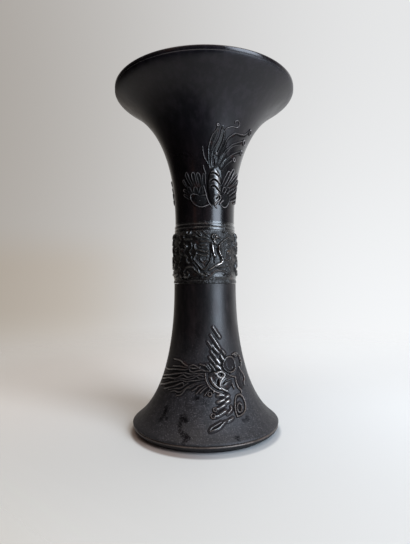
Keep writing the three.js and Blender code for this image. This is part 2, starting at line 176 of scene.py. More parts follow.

# %% [markdown]
# A dark glossy vase is mostly a mirror of its room. The room here is pale behind the vase, which
# gives the light edges on both sides, and nearly black behind the camera, which gives the deep blacks
# on the neck. The world node reads a direction, so it can be both. A camera ray sees only the pale
# wall and the colour of the table below. Painted shade makes the wall darker at the top and on the
# left and the table darker on the left, and a painted shadow of the vase lies on the wall to its left.

# %% The room
DIM_ROOM = rgb(34, 31, 32)
DIM_CEILING = rgb(112, 108, 106)
DIM_BELOW = rgb(14, 13, 14)
# Wall and table colours. Their left-to-right and top-to-bottom change is painted shade from the window's
# falloff.
WALL_LEFT = rgb(173, 167, 160)
WALL_RIGHT = rgb(247, 249, 251)
TABLE_LEFT = rgb(204, 201, 196)
TABLE_RIGHT = rgb(247, 248, 249)
TOP_SHADE = rgb(238, 237, 236)
WALL_SHADOW = rgb(252, 246, 238)
ROOM_GAIN = (1.15, 1.15, 1.15, 1.0)
LEFT_TO_RIGHT = (-0.66, 0.47)
UP_THE_WALL = (-0.25, 0.55)
SHADOW_ACROSS = (-0.08, -0.34)
SHADOW_TOP = (0.14, 0.02)
SHADOW_FOOT = (-0.3, -0.1)
WALL_TO_TABLE = (-0.05, -0.28)
ROOM_TO_CEILING = (0.15, 0.85)
ROOM_TO_BELOW = (0.0, -0.3)
TABLE_TO_ROOM = (-0.45, -0.1)
WINDOW_SIDE = (0.1, 0.6)
DIM_TO_PALE = (-0.4, 0.4)
DARK_LEFT = (-0.95, -0.3)

room = Finish(bpy.data.worlds.new("studio_room"))
scene.world = room.owner
toward = room.node("ShaderNodeTexCoord", out="Generated")
sideways, away, upward = [room.axis(toward, letter) for letter in "XYZ"]
# Painted shade: the wall and the table are darker on the left, and the wall is darker towards the top.
to_right = room.between(sideways, *LEFT_TO_RIGHT)
backing = room.blend(to_right, WALL_LEFT, WALL_RIGHT)
pale = room.tint(room.between(upward, *UP_THE_WALL), backing, TOP_SHADE)
# A painted shadow of the vase on the wall, to its left.
beside = room.between(sideways, *SHADOW_ACROSS) * room.between(upward, *SHADOW_TOP)
beside = beside * room.between(upward, *SHADOW_FOOT)
pale = room.tint(beside, pale, WALL_SHADOW)
tabletop = room.blend(to_right, TABLE_LEFT, TABLE_RIGHT)
pale = room.blend(room.between(upward, *WALL_TO_TABLE), pale, tabletop)
dim = room.blend(room.between(upward, *ROOM_TO_CEILING), DIM_ROOM, DIM_CEILING)
dim = room.blend(room.between(upward, *ROOM_TO_BELOW), dim, DIM_BELOW)
level = room.between(upward, *TABLE_TO_ROOM)
beyond = away - 0.25 * level + 0.3 * room.between(sideways, *WINDOW_SIDE) * (1 - level)
behind_vase = room.between(beyond, *DIM_TO_PALE) * room.between(sideways, *DARK_LEFT)
lit = room.tint(1.0, room.blend(behind_vase, dim, pale), ROOM_GAIN)
by_camera = room.node("ShaderNodeLightPath", out="Is Camera Ray")
backdrop = room.node("ShaderNodeBackground", None, {"Color": room.blend(by_camera, lit, pale)})
room.node("ShaderNodeOutputWorld", None, {"Surface": backdrop})
print("room nodes:", len(room.tree.nodes))

# %% [markdown]
# The vase stands on a pale table top. The floor is a disc that fades away towards its edge, so the
# table runs into the backdrop without a line. Seen from below it is clear, so that the underside of
# the foot can be looked at. Its colour holds painted shade, darker on the left and nearer the camera
# and lighter far off to the right, and a painted shadow round the foot, warm on the left and cold on
# the right.

# %% Floor
FLOOR_RADIUS = 1.2
FLOOR_DROP = 0.05 * MM
FLOOR_FADE = (0.12, 0.85)
FADE_DEPTH = (-0.3, -0.05)
TABLE_FRONT = (-0.18, -0.26)
TABLE_SLANT = 0.8
# Table colours with painted shade: darker on the left and nearer the camera, lighter far off to the
# right.
LEFT_NEAR = rgb(192, 187, 180)
LEFT_FAR = rgb(206, 198, 190)
LEFT_DEPTH = (-0.15, 0.1)
RIGHT_NEAR = rgb(204, 202, 199)
RIGHT_MIDDLE = rgb(221, 220, 218)
RIGHT_FAR = rgb(246, 246, 245)
RIGHT_DEPTH = (-0.2, 0.06)
RIGHT_BEYOND = (0.12, 0.6)
ACROSS = (-0.25, 0.25)
SHADOW_MIDDLE = (0.0, -0.0055, 0.0)
SHADOW_EDGE = (0.0668, 0.0632)
SHADOW_SIDES = (-0.03, 0.025)
SHADOW_WARM = rgb(118, 98, 88)
SHADOW_COLD = rgb(66, 82, 100)
SHADOW_LEFT = 0.84
SHADOW_LOSS = 0.4

table = bmesh.new()
bmesh.ops.create_circle(table, cap_ends=True, segments=96, radius=FLOOR_RADIUS)
bmesh.ops.translate(table, verts=table.verts, vec=(0, 0, -FLOOR_DROP))
floor_mesh = bpy.data.meshes.new("floor")
table.to_mesh(floor_mesh)
table.free()
floor = bpy.data.objects.new("floor", floor_mesh)
scene.collection.objects.link(floor)

paint = Finish(bpy.data.materials.new("pale_table"))
spot = paint.place()
reach = paint.node("ShaderNodeVectorMath", {"operation": "LENGTH"}, {0: spot}, "Value")
depth = paint.axis(spot, "Y")
side = paint.axis(spot, "X")
fade = paint.between(reach, *FLOOR_FADE) * paint.between(depth, *FADE_DEPTH)
under = paint.node("ShaderNodeNewGeometry", out="Backfacing")
front = paint.between(depth + TABLE_SLANT * side, *TABLE_FRONT)
clear = 1 - (1 - fade) * (1 - under) * (1 - front)
# Painted shade: the table's colour is darker on the left and nearer the camera.
left = paint.blend(paint.between(depth, *LEFT_DEPTH), LEFT_NEAR, LEFT_FAR)
right = paint.blend(paint.between(depth, *RIGHT_DEPTH), RIGHT_NEAR, RIGHT_MIDDLE)
right = paint.blend(paint.between(depth, *RIGHT_BEYOND), right, RIGHT_FAR)
shade = paint.blend(paint.between(side, *ACROSS), left, right)
# A painted shadow round the foot, warm brown on the left and cold blue on the right.
near = paint.far_from(SHADOW_MIDDLE)
lit_side = paint.between(side, *SHADOW_SIDES)
contact_shadow = paint.between(near, *SHADOW_EDGE) * (SHADOW_LEFT - SHADOW_LOSS * lit_side)
shade = paint.blend(contact_shadow, shade, paint.blend(lit_side, SHADOW_WARM, SHADOW_COLD))
top = paint.node("ShaderNodeBsdfPrincipled", None, {"Base Color": shade, "Roughness": 0.75})
gone = paint.node("ShaderNodeBsdfTransparent")
surface = paint.node("ShaderNodeMixShader", None, {0: clear, 1: top, 2: gone})
paint.node("ShaderNodeOutputMaterial", None, {"Surface": surface})
floor_mesh.materials.append(paint.owner)
print("floor radius in mm:", in_mm(FLOOR_RADIUS))

# %% [markdown]
# A tall window to the right of the camera draws the cold upright streak on the neck and the stem.
# A lamp's size and place set that streak: its edges reflect at the angles where the streak begins and
# ends. A ceiling lamp fills in from above, and a narrow warm panel on the left gives the faint brown
# streak that the photograph shows beside the dark of the neck.

# %% Lights
AIM = Vector((0, 0, 0.15))


def panel_light(name, azimuth, distance, height, size, watts, colour):
    """A rectangular lamp. Azimuth is in degrees to the right of the camera's side of the vase."""
    data = bpy.data.lights.new(name, "AREA")
    data.shape = "RECTANGLE"
    data.size, data.size_y = size
    data.energy = watts
    data.color = colour[:3]
    lamp = bpy.data.objects.new(name, data)
    scene.collection.objects.link(lamp)
    turn = math.radians(azimuth)
    place = Vector((distance * math.sin(turn), -distance * math.cos(turn), height))
    aim = AIM - place
    lamp.matrix_world = Matrix.Translation(place) @ aim.to_track_quat("-Z", "Y").to_matrix().to_4x4()
    return lamp


panel_light("window", 47, 1.3, 0.62, (0.78, 1.5), 42, rgb(222, 238, 255))
panel_light("ceiling", 0, 0.25, 1.7, (1.6, 1.2), 14, rgb(255, 246, 236))
panel_light("warm_panel", -38, 1.2, 0.65, (0.10, 1.3), 0.2, rgb(255, 170, 130))

# %% [markdown]
# The castings are turned shapes, so each is one profile spun about the upright axis. The flares
# are cubic curves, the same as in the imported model, but here with many more points. The sizes that a
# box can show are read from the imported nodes, and the rest are the design's own.

# %% Sizes and curves
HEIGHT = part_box("upper_trumpet")[1].z / MM
MOUTH_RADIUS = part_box("upper_trumpet")[1].x / MM
FOOT_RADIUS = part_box("lower_trumpet")[1].x / MM
BAND_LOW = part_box("relief_band")[0].z / MM
BAND_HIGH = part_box("relief_band")[1].z / MM
CLEARANCE = 0.3
NECK_RADIUS = 26.5
STEM_RADIUS = 27.6
WALL = 2.8
WAIST_LOW = BAND_LOW - CLEARANCE
WAIST_HIGH = BAND_HIGH + CLEARANCE
MOUTH_EDGE = HEIGHT - 4
MOUTH_CURL = 10.4
MOUTH_LEAN = math.radians(15)
NECK_FULLNESS = 0.87
FOOT_EDGE = 6.0
FOOT_END = FOOT_RADIUS - 0.7
FOOT_FULLNESS = 0.97
FOOT_SWELL = 8.2
FOOT_RISE = 4.2


def flare(start, rise_to, lean_from, end, count=90):
    """A cubic curve of (radius, height) points that leaves start and reaches end."""
    t = np.linspace(0, 1, count)[:, None]
    a, b, c, d = [np.array(point, float) for point in (start, rise_to, lean_from, end)]
    return a * (1 - t) ** 3 + 3 * b * t * (1 - t) ** 2 + 3 * c * t ** 2 * (1 - t) + d * t ** 3


neck_curve = flare(
    (NECK_RADIUS, WAIST_HIGH),
    (NECK_RADIUS, WAIST_HIGH + NECK_FULLNESS * (MOUTH_EDGE - WAIST_HIGH)),
    (MOUTH_RADIUS - MOUTH_CURL * math.sin(MOUTH_LEAN), MOUTH_EDGE - MOUTH_CURL * math.cos(MOUTH_LEAN)),
    (MOUTH_RADIUS, MOUTH_EDGE),
)
foot_curve = flare(
    (STEM_RADIUS, WAIST_LOW),
    (STEM_RADIUS, WAIST_LOW - FOOT_FULLNESS * (WAIST_LOW - FOOT_EDGE)),
    (FOOT_END + FOOT_SWELL, FOOT_EDGE + FOOT_RISE),
    (FOOT_END, FOOT_EDGE),
)
print("mouth, foot and height in mm:", [round(v, 1) for v in (MOUTH_RADIUS, FOOT_RADIUS, HEIGHT)])

# %% [markdown]
# A wall knows where a point of a flat drawing lands on a flare: so far round, so far along, and so
# far out. It measures length along the curve, which keeps the drawing from stretching where the flare
# turns outwards. The same wall moved inwards gives the inside of the casting.

# %% Walls
class Wall:
    """The outside of a turned shape, by the length along it from its first point."""

    def __init__(self, points):
        self.points = points
        steps = np.hypot(*np.diff(points, axis=0).T)
        self.along = np.concatenate(([0.0], np.cumsum(steps)))
        slope = np.gradient(points, self.along, axis=0)
        side = np.where(slope[:, 1] < 0, -1.0, 1.0)
        self.normal = np.stack((slope[:, 1] * side, -slope[:, 0] * side), axis=1)

    def pick(self, table, along):
        return np.stack([np.interp(along, self.along, column) for column in table.T], axis=-1)

    def offset(self, depth):
        return self.points - depth * self.normal

    def bend(self, x, y, rise, turn):
        """Points of a drawing at (x, y), rise out from the wall, as (x, y, z) in metres."""
        spot = self.pick(self.points, y)
        out = spot + self.pick(self.normal, y) * np.asarray(rise)[..., None]
        radius, height = out[..., 0], out[..., 1]
        angle = turn - math.pi / 2 + x / spot[..., 0]
        return np.stack((radius * np.cos(angle), radius * np.sin(angle), height), axis=-1) * MM


neck_wall = Wall(neck_curve)
foot_wall = Wall(foot_curve[::-1])
print("neck and foot wall lengths in mm:", round(neck_wall.along[-1], 1), round(foot_wall.along[-1], 1))

# %% [markdown]
# Spin turns a chain of edges about an axis, and use_merge closes the seam. The profile is a closed
# loop, so the turned skin is closed as well. Its normals are recalculated, because a spin can come
# out with its faces inwards.

# %% Spinning a profile
SPIN_STEPS = 144
SHARP_ANGLE = math.radians(50)


def add_piece(name, bm, replaced=()):
    bmesh.ops.recalc_face_normals(bm, faces=bm.faces)
    mesh = bpy.data.meshes.new(name)
    bm.to_mesh(mesh)
    bm.free()
    mesh.shade_smooth()
    mesh.set_sharp_from_angle(angle=SHARP_ANGLE)
    piece = bpy.data.objects.new(name, mesh)
    scene.collection.objects.link(piece)
    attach(piece, "root")
    if replaced:
        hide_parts(*replaced)
    print(name, "triangles:", sum(len(face.vertices) - 2 for face in mesh.polygons))
    return piece


def turned(name, profile, replaced):
    bm = bmesh.new()
    chain = [bm.verts.new((radius * MM, 0, height * MM)) for radius, height in profile]
    edges = [bm.edges.new(pair) for pair in zip(chain, chain[1:] + chain[:1])]
    bmesh.ops.spin(
        bm, geom=chain + edges, cent=(0, 0, 0), axis=(0, 0, 1), angle=2 * math.pi,
        steps=SPIN_STEPS, use_merge=True,
    )
    bmesh.ops.remove_doubles(bm, verts=bm.verts, dist=1e-7)
    return add_piece(name, bm, replaced)


def arc(centre, radius, start, end, steps=8):
    """Points on a circle's arc, from one angle in degrees to another."""
    angles = np.radians(np.linspace(start, end, steps + 1))
    return [(centre[0] + radius * math.cos(a), centre[1] + radius * math.sin(a)) for a in angles]


# %% [markdown]
# The upper casting is the neck and the mouth. Its rim ends in a slim rolled lip with a fine
# line under it, which catches the window as a bright thread. Below the waist it has a spigot that
# stands in the lower casting, hidden by the band.

# %% Upper casting
BORE_RADIUS = 19.0
SPIGOT_RADIUS = 21.4
SPIGOT_END = WAIST_HIGH - 40
BORE_TAPER = 18.0
NECK_GAP = 0.04
LIP_ROUND = 1.3
LIP_LINE = [(0.35, 0.1), (0.45, 0.5), (0.1, 0.95)]

inner_mouth = neck_wall.offset(WALL)
inner_mouth = inner_mouth[neck_wall.along > BORE_TAPER][::-1]
lip_centre = (MOUTH_RADIUS - LIP_ROUND, HEIGHT - LIP_ROUND)
upper_profile = [
    (BORE_RADIUS, SPIGOT_END),
    (SPIGOT_RADIUS, SPIGOT_END),
    (SPIGOT_RADIUS, BAND_HIGH + NECK_GAP),
    (NECK_RADIUS, BAND_HIGH + NECK_GAP),
    *neck_curve[:-1],
    *[(MOUTH_RADIUS - inwards, MOUTH_EDGE + up) for inwards, up in LIP_LINE],
    *arc(lip_centre, LIP_ROUND, 0, 180),
    *inner_mouth,
    (BORE_RADIUS, WAIST_HIGH),
]
upper = turned("upper_casting", upper_profile, ["upper_trumpet"])

# %% [markdown]
# The lower casting is the stem and the foot. The foot ends in a rounded edge that stands clear of
# the table on a narrow ring, so a dark line shows under it.

# %% Lower casting
STAND_OUTER = FOOT_RADIUS - 4.6
STAND_INNER = STAND_OUTER - 3.7
STAND_ROUND = 0.4
PLATE_SEAT = 6.8
LEDGE_INNER = STAND_INNER - 3
SOCKET_OUTER = 24.1
SOCKET_INNER = 21.7
LEDGE_TOP = 137.3
LEDGE_LOW = LEDGE_TOP - 14
RING_LENGTH = 16
FOOT_LIFT = 2.0
EDGE_ROUND = 3.1
EDGE_TOP = 0.9

foot_down = Wall(foot_curve)
taper_end = WAIST_LOW - LEDGE_LOW + BORE_TAPER
ring_start = foot_down.along[-1] - RING_LENGTH
hollow_part = (foot_down.along > taper_end) & (foot_down.along < ring_start)
inner_foot = foot_down.offset(WALL)[hollow_part]
edge_centre = (FOOT_RADIUS - EDGE_ROUND, FOOT_LIFT + EDGE_ROUND)
top_centre = (FOOT_RADIUS - EDGE_TOP, FOOT_LIFT + EDGE_ROUND)
lower_profile = [
    (BORE_RADIUS, LEDGE_LOW),
    *inner_foot,
    (min(LEDGE_INNER, inner_foot[-1][0]), PLATE_SEAT),
    (STAND_INNER, PLATE_SEAT),
    (STAND_INNER, STAND_ROUND),
    (STAND_INNER + STAND_ROUND, 0.0),
    (STAND_OUTER - STAND_ROUND, 0.0),
    (STAND_OUTER, STAND_ROUND),
    (STAND_OUTER, FOOT_LIFT),
    *arc(edge_centre, EDGE_ROUND, -90, 0),
    *arc(top_centre, EDGE_TOP, 10, 70, 5),
    *foot_curve[::-1],
    (SOCKET_OUTER, WAIST_LOW),
    (SOCKET_OUTER, WAIST_HIGH - CLEARANCE),
    (SOCKET_INNER, WAIST_HIGH - CLEARANCE),
    (SOCKET_INNER, LEDGE_TOP),
    (BORE_RADIUS, LEDGE_TOP),
]
lower = turned("lower_casting", lower_profile, ["lower_trumpet"])

# %% [markdown]
# The relief is drawn over the photograph. A line of the drawing is a row of pixels, read along a
# ridge. A ray from the camera through each pixel finds where that pixel lies on the wall, so the
# line follows the vase and not the picture. What the picture cannot show is drawn flat, in
# millimetres.

# %% From pixels to the wall
RELIEF_LIFT = 0.8
RAY_STEP = 0.2
RAY_START = 260.0
RAY_END = 400.0


def traced(wall, pixels):
    """Where rays through pixels of the photograph meet a wall, as flat (x, y) points in mm."""
    wide, tall = PHOTO_SIZE
    aims = [((x - wide / 2) / FOCAL_PIXELS, (tall / 2 - y) / FOCAL_PIXELS, -1) for x, y in pixels]
    rays = np.array(aims) @ np.array(camera.matrix_world.to_3x3()).T
    reach = np.arange(RAY_START, RAY_END, RAY_STEP)
    spots = np.array(CAMERA_PLACE) / MM + rays[:, None] * reach[:, None]
    radius = np.interp(spots[..., 2], wall.points[:, 1], wall.points[:, 0])
    gap = np.hypot(spots[..., 0], spots[..., 1]) - radius - RELIEF_LIFT
    met = gap <= 0
    index = np.where(met.any(1), met.argmax(1), gap.argmin(1))
    x, y, height = spots[np.arange(len(rays)), index].T
    around = np.arctan2(y, x) + math.pi / 2
    girth = np.interp(height, wall.points[:, 1], wall.points[:, 0])
    return np.stack((around * girth, np.interp(height, wall.points[:, 1], wall.along)), axis=1)


print("the middle of the neck bird in mm:", traced(neck_wall, [(215, 187)]).round(1))

# %% [markdown]
# The relief was modelled in wax before it was cast: threads of wax laid down as lines, pads for the
# bodies, and cuts made with a tool. The same is done here on a grid of heights. A dab raises the grid
# to a rounded cap, a line is a row of dabs along a smooth curve, and a cut is a line taken away.

# %% Modelling wax
FINE_PITCH = 0.24
DAB_STEP = 0.25
LOWEST_END = 0.4
CREST_REACH = 1.1
CREST_RISE = 0.55
RING_POINTS = 13
EYE_RING = 0.7
EYE_DOT = 0.6


def smooth_line(points, step=DAB_STEP):
    """Points about a step apart on a curve that passes through the given points."""
    p = np.array(points, float)
    p = np.vstack((2 * p[0] - p[1], p, 2 * p[-1] - p[-2]))
    line = []
    for a, b, c, d in zip(p, p[1:], p[2:], p[3:]):
        count = max(2, int(np.hypot(*(c - b)) / step))
        t = np.linspace(0, 1, count, endpoint=False)[:, None]
        bend = (2 * a - 5 * b + 4 * c - d) * t ** 2 + (3 * b - a - 3 * c + d) * t ** 3
        line.append(0.5 * (2 * b + (c - a) * t + bend))
    return np.vstack((*line, p[-2:-1]))


def softened(height, times):
    for _ in range(times):
        for axis in (0, 1):
            height = (np.roll(height, 1, axis) + 2 * height + np.roll(height, -1, axis)) / 4
    return height


class Wax:
    """Heights in mm over an even grid on a wall, raised and cut stroke by stroke."""

    def __init__(self, wall, left, right, low, high, pitch=FINE_PITCH, deepest=0.0):
        self.wall = wall
        self.pitch = pitch
        self.deepest = deepest
        self.x = np.arange(left, right, pitch)
        self.y = np.arange(low, high, pitch)
        self.raised = np.zeros((len(self.y), len(self.x)))
        self.sunk = np.zeros_like(self.raised)
        self.polish = np.zeros_like(self.raised)

    def seen(self, *pixels):
        return traced(self.wall, pixels)

    def dab(self, layer, x, y, half_width, rise, fullness):
        columns = slice(*np.searchsorted(self.x, (x - half_width, x + half_width)))
        rows = slice(*np.searchsorted(self.y, (y - half_width, y + half_width)))
        far = (self.x[columns] - x) ** 2 + (self.y[rows, None] - y) ** 2
        cap = rise * np.clip(1 - far / half_width ** 2, 0, 1) ** fullness
        layer[rows, columns] = np.maximum(layer[rows, columns], cap)

    def line(self, points, half_width, rise, ends=(0.8, 0.8), fullness=1.1, layer=None):
        """A ridge through points. ends are the shares of its width at its first and last point."""
        layer = self.raised if layer is None else layer
        dabs = smooth_line(points)
        shares = np.linspace(0, 1, len(dabs))
        slim = 1 - (1 - ends[0]) * (1 - shares) ** 3 - (1 - ends[1]) * shares ** 3
        for (x, y), share in zip(dabs, slim):
            top = rise * (LOWEST_END + (1 - LOWEST_END) * share)
            self.dab(layer, x, y, half_width * share, top, fullness)

    def lines(self, strokes, half_width, rise, ends=(0.8, 0.8), fullness=1.1):
        """Ridges along strokes, which are rows of pixels."""
        for pixels in strokes:
            self.line(self.seen(*pixels), half_width, rise, ends, fullness)

    def cuts(self, strokes, half_width, depth):
        """Grooves along strokes, taken away from whatever is raised there."""
        for pixels in strokes:
            self.line(self.seen(*pixels), half_width, depth, (0.6, 0.6), 0.8, self.sunk)

    def rub(self, strokes, half_width, shine=1.0):
        """Mark what hands have polished. It changes the finish and not the shape."""
        for pixels in strokes:
            self.line(self.seen(*pixels), half_width, shine, (1, 1), 0.5, self.polish)

    def pad(self, x, y, half_width, half_length, rise, tilt=0.0, fullness=0.5):
        """A rounded oval pad, tilted in degrees."""
        c, s = math.cos(math.radians(tilt)), math.sin(math.radians(tilt))
        dx, dy = self.x - x, self.y[:, None] - y
        far = ((dx * c + dy * s) / half_width) ** 2 + ((dy * c - dx * s) / half_length) ** 2
        self.raised = np.maximum(self.raised, rise * np.clip(1 - far, 0, 1) ** fullness)

    def pads(self, pixels, radius, rise):
        """Round pads of one size, at pixels."""
        for x, y in self.seen(*pixels):
            self.pad(x, y, radius, radius, rise)

    def ring(self, x, y, radius, half_width, rise):
        turn = np.linspace(0, 2 * math.pi, RING_POINTS)
        points = list(zip(x + radius * np.cos(turn), y + radius * np.sin(turn)))
        self.line(points, half_width, rise, (1, 1))

    def eye(self, pixel, radius, rise):
        """A ring with a dot in it, at a pixel."""
        (x, y), = self.seen(pixel)
        self.ring(x, y, radius, EYE_RING, rise)
        self.pad(x, y, EYE_DOT, EYE_DOT, EYE_DOT * rise)

    def curl(self, x, y, radius, start, turns, half_width, rise, closing=0.8):
        """A spiral that winds inwards from an angle in degrees. Negative turns run clockwise."""
        shares = np.linspace(0, 1, max(8, int(10 * abs(turns))))
        angles = math.radians(start) + 2 * math.pi * turns * shares
        reach = radius * (1 - closing * shares)
        points = list(zip(x + reach * np.cos(angles), y + reach * np.sin(angles)))
        self.line(points, half_width, rise)

    def heights(self):
        return softened(np.maximum(self.raised - self.sunk, self.deepest), 1)

    def crests(self):
        """How far each spot stands above its neighbourhood: over 0 on ridges, under 0 in hollows."""
        height = self.heights()
        return (height - softened(height, round(2 * (CREST_REACH / self.pitch) ** 2))) / CREST_RISE


print("wax grid pitch in mm:", FINE_PITCH)

# %% [markdown]
# Most feathers on this vase are drawn the same way: a low tongue with a raised rim that runs up one
# side, round the tip and down the other. One function takes the rim as a loop of points. Another makes
# the loop from a root, a tip and a width, for feathers that are nearly straight.

# %% Feathers
RIM = 0.54
RIM_RISE = 0.9
TONGUE_RISE = 0.3
BARB = 0.42
BARB_RISE = 0.62
ROOT_SHARE = 0.75
TIP_SHARE = 0.9


def rimmed(wax, rim, rise=RIM_RISE, edge=RIM):
    """A low tongue inside a loop of points, and a raised rim along the loop."""
    rim = np.array(rim, float)
    half = (len(rim) + 1) // 2
    middle = (rim[:half] + rim[::-1][:half]) / 2
    half_width = np.hypot(*(rim[:half] - rim[::-1][:half]).T).max() / 2
    wax.line(middle, half_width, TONGUE_RISE, (1, 0.7), 0.25)
    wax.line(rim, edge, rise, (0.7, 0.7))


def barbs(wax, line, length, spacing, lean):
    """Short fine strokes that leave a line on one side. lean turns them from the line, in degrees."""
    dabs = smooth_line(line)
    stride = max(1, round(spacing / DAB_STEP))
    c, s = math.cos(math.radians(lean)), math.sin(math.radians(lean))
    for start, after in zip(dabs[::stride], dabs[1::stride]):
        dx, dy = (after - start) / np.hypot(*(after - start)) * length
        tip = start + (dx * c - dy * s, dx * s + dy * c)
        wax.line([start, tip], BARB, BARB_RISE, (1.0, 0.7))


def feather(wax, root, tip, half_width, rise, edge):
    """A nearly straight feather from its root to its tip."""
    root, tip = np.array(root, float), np.array(tip, float)
    along = (tip - root) / np.hypot(*(tip - root))
    across = np.array((-along[1], along[0])) * half_width
    middle = (root + tip) / 2
    shoulder = tip - along * half_width
    left = [root + ROOT_SHARE * across, middle + across, shoulder + TIP_SHARE * across]
    right = [root - ROOT_SHARE * across, middle - across, shoulder - TIP_SHARE * across]
    rimmed(wax, [*left, tip, *right[::-1]], rise, edge)


print("feather rim width in mm:", 2 * RIM)

# %% [markdown]
# The neck bird dives with its head down and its wings spread, and its long tail streams up and round
# to the right, each plume ending in an eye. The left wing and the tail are traced. The right wing turns
# away from the camera, so only its feathers' tips are traced and the rest follows the left one.

# %% Drawing of the neck bird
NECK_GRID = (-24, 60, 8, 88)
NECK_LOOPS = [
    [(202.6, 187), (202.3, 180), (202.5, 175), (203.8, 173.4), (205.2, 175.5), (205.4, 181),
     (205.8, 187)],
    [(198.8, 187), (197.6, 180), (196.3, 174.5), (197.6, 172.6), (199.5, 174.5), (200.8, 180),
     (201.5, 187)],
    [(195.3, 187), (192.8, 181), (191.3, 175), (192.6, 172.3), (194.5, 174.5), (195.6, 180),
     (197.6, 187)],
    [(191, 186.5), (187.5, 181), (185.2, 175.2), (186.1, 172.4), (187.4, 174), (189.3, 179),
     (192.6, 185.5)],
    [(188.5, 189.5), (184.8, 185.5), (182.6, 181.5), (183.4, 180), (184.8, 182), (186.5, 186),
     (189.5, 189)],
    [(190, 196), (186.5, 193), (183.2, 190.8), (184, 189.3), (187, 191), (190.5, 194)],
    [(190, 199.5), (187, 198.3), (183.8, 195.8), (184.5, 194.2), (187.5, 196), (190.3, 198)],
    [(190, 194), (187.9, 190.5), (187.5, 187.8), (189.3, 187.1), (191, 190.3), (192.7, 193.6)],
    [(194.2, 194), (193.5, 190), (194.3, 187.3), (196, 187.2), (197.3, 190), (198.6, 193.3)],
    [(199.8, 194.5), (199.4, 190.5), (200, 187.3), (201.8, 186.6), (202.7, 190), (202.9, 193.5)],
]
NECK_RIDGES = [
    [(203.5, 185), (204.5, 188.5), (205.6, 192), (206.4, 195.5), (207.6, 199.5), (209.5, 203.5),
     (212.5, 207.5)],
    [(190.5, 196), (190.5, 199), (192.5, 202), (195, 204.5), (198, 206.2), (201, 206.8),
     (204.5, 206.2), (209, 204.5)],
    [(190.5, 195.5), (192.5, 193.9), (195, 194.3), (197.5, 194.8), (199.6, 196.5), (202, 195.3),
     (205.5, 194.8)],
    [(201.8, 199.3), (200.2, 198.5), (198.2, 199.1), (197.6, 200.8), (198.6, 202.4),
     (200.6, 202.9), (203, 202.3)],
    [(203.3, 165.2), (203.8, 168.5), (205, 171.5), (205.7, 174)],
    [(213.5, 195.2), (216, 193.5), (220.3, 193.5)],
    [(210.3, 194), (211.3, 197), (212.8, 200), (213.8, 202.5)],
    [(221.5, 205.5), (224, 207.4), (226.5, 206.8), (228.5, 203.5), (229.7, 200), (229.4, 195.5),
     (227.5, 192.5), (225, 192)],
    [(221.8, 197.6), (223.6, 196.8), (225.6, 196.6), (226.6, 198.5), (225.4, 200.6),
     (223.6, 200.2)],
]
NECK_RIGHT_FEATHERS = [
    ((222.4, 186.5), (229.8, 171.6)), ((224.4, 187.5), (234.2, 169.6)),
    ((226.4, 188.8), (237.6, 175.5)), ((228.4, 190.5), (238.8, 181.6)),
    ((222.6, 194.5), (225.4, 187.2)), ((225, 194.5), (229.4, 187.4)),
    ((227.6, 195.5), (233.4, 189.6)), ((229, 197.4), (236, 191.8)),
    ((230, 200.6), (236.2, 197)),
]
NECK_RIGHT_BEYOND = [
    ((30, 24), (44, 33)), ((31, 21), (46, 27)), ((31, 18), (44, 21)), ((29, 27), (42, 38.5)),
]
NECK_BLADES = [
    [(211, 166), (210, 160), (210.3, 153), (211, 147.5), (212.6, 142.5), (214.6, 137.8),
     (216.6, 133.4), (218, 128.5)],
    [(213.5, 160), (214.4, 153), (216.4, 147.5), (219, 142.5), (221.2, 137), (222.6, 131),
     (223.2, 126.5)],
]
NECK_PLUMES = [
    [(210.3, 168), (209, 163.5), (208.5, 158), (208.3, 152), (208.5, 147), (209.8, 142),
     (211, 137.5), (213, 133.5), (215.5, 130.5), (217, 128), (218.3, 124.2)],
    [(211.2, 164), (211.6, 157), (212.2, 152), (214, 147.5), (217, 143), (219, 139), (220.6, 134),
     (221.6, 129.5)],
    [(215.6, 167), (215.5, 160), (217.5, 153), (219.6, 148.4), (221.4, 145), (223, 141),
     (224, 136.5), (224.4, 131)],
    [(218.6, 158), (221.5, 151), (224.6, 145.5), (226, 141.5), (228.5, 137.8), (232, 135),
     (236.5, 132.8), (241, 134.2), (244.8, 134.5), (247.5, 132.8), (249.3, 131)],
    [(224.4, 133), (226, 128.7), (229, 127.1), (233, 126.3), (237, 127.3), (239.3, 125.8),
     (239.8, 122.6), (238.5, 120.3), (236.3, 120.8), (235.3, 122.5)],
    [(219, 163), (220.5, 159.5), (222, 156.5), (224, 153), (226, 149.8), (229, 147.4),
     (232.5, 144.5), (236, 143), (240, 141.7), (243, 141)],
    [(222, 160), (226, 153.5), (228.4, 150.6), (230.6, 148.4), (232.7, 146.6), (235.5, 145.5),
     (239, 145), (242.5, 144.6)],
    [(219.5, 168.5), (221.5, 165), (223, 162), (225.5, 159.8), (229, 157), (231, 155.5),
     (234, 153.5), (237, 152.2), (240, 151)],
    [(221, 169), (225, 164), (229, 158.8), (232, 156.7), (236, 155), (240, 154.4)],
    [(222, 171), (225, 166.6), (228, 163.6), (231, 161.2), (233.4, 160)],
    [(210, 168), (206.5, 160.5), (204.4, 157), (203.3, 152), (202.5, 146)],
]
NECK_DOUBLED = (0, 1, 2, 3, 5, 7, 8)
NECK_TWIN_STEP = (1.35, 0)
NECK_BARBED = [(0, -28), (1, -28), (2, -30), (3, -34), (5, -36), (6, 34), (7, -36), (8, 36), (9, -38)]
NECK_EYES = [
    ((218, 124.2), 0.8), ((216.4, 153.2), 0.7), ((250.6, 132.4), 2.0),
    ((244.4, 142.7), 1.9), ((241.6, 152.7), 1.7), ((234.4, 159.6), 1.4),
]
NECK_BEDS = [((222, 182), 7.5, 17, 0), ((220, 160), 6.5, 14, -14)]
NECK_RUBBED = [(217, 171), (217.6, 178), (217.8, 185), (217.6, 192), (217, 198), (216.4, 203)]
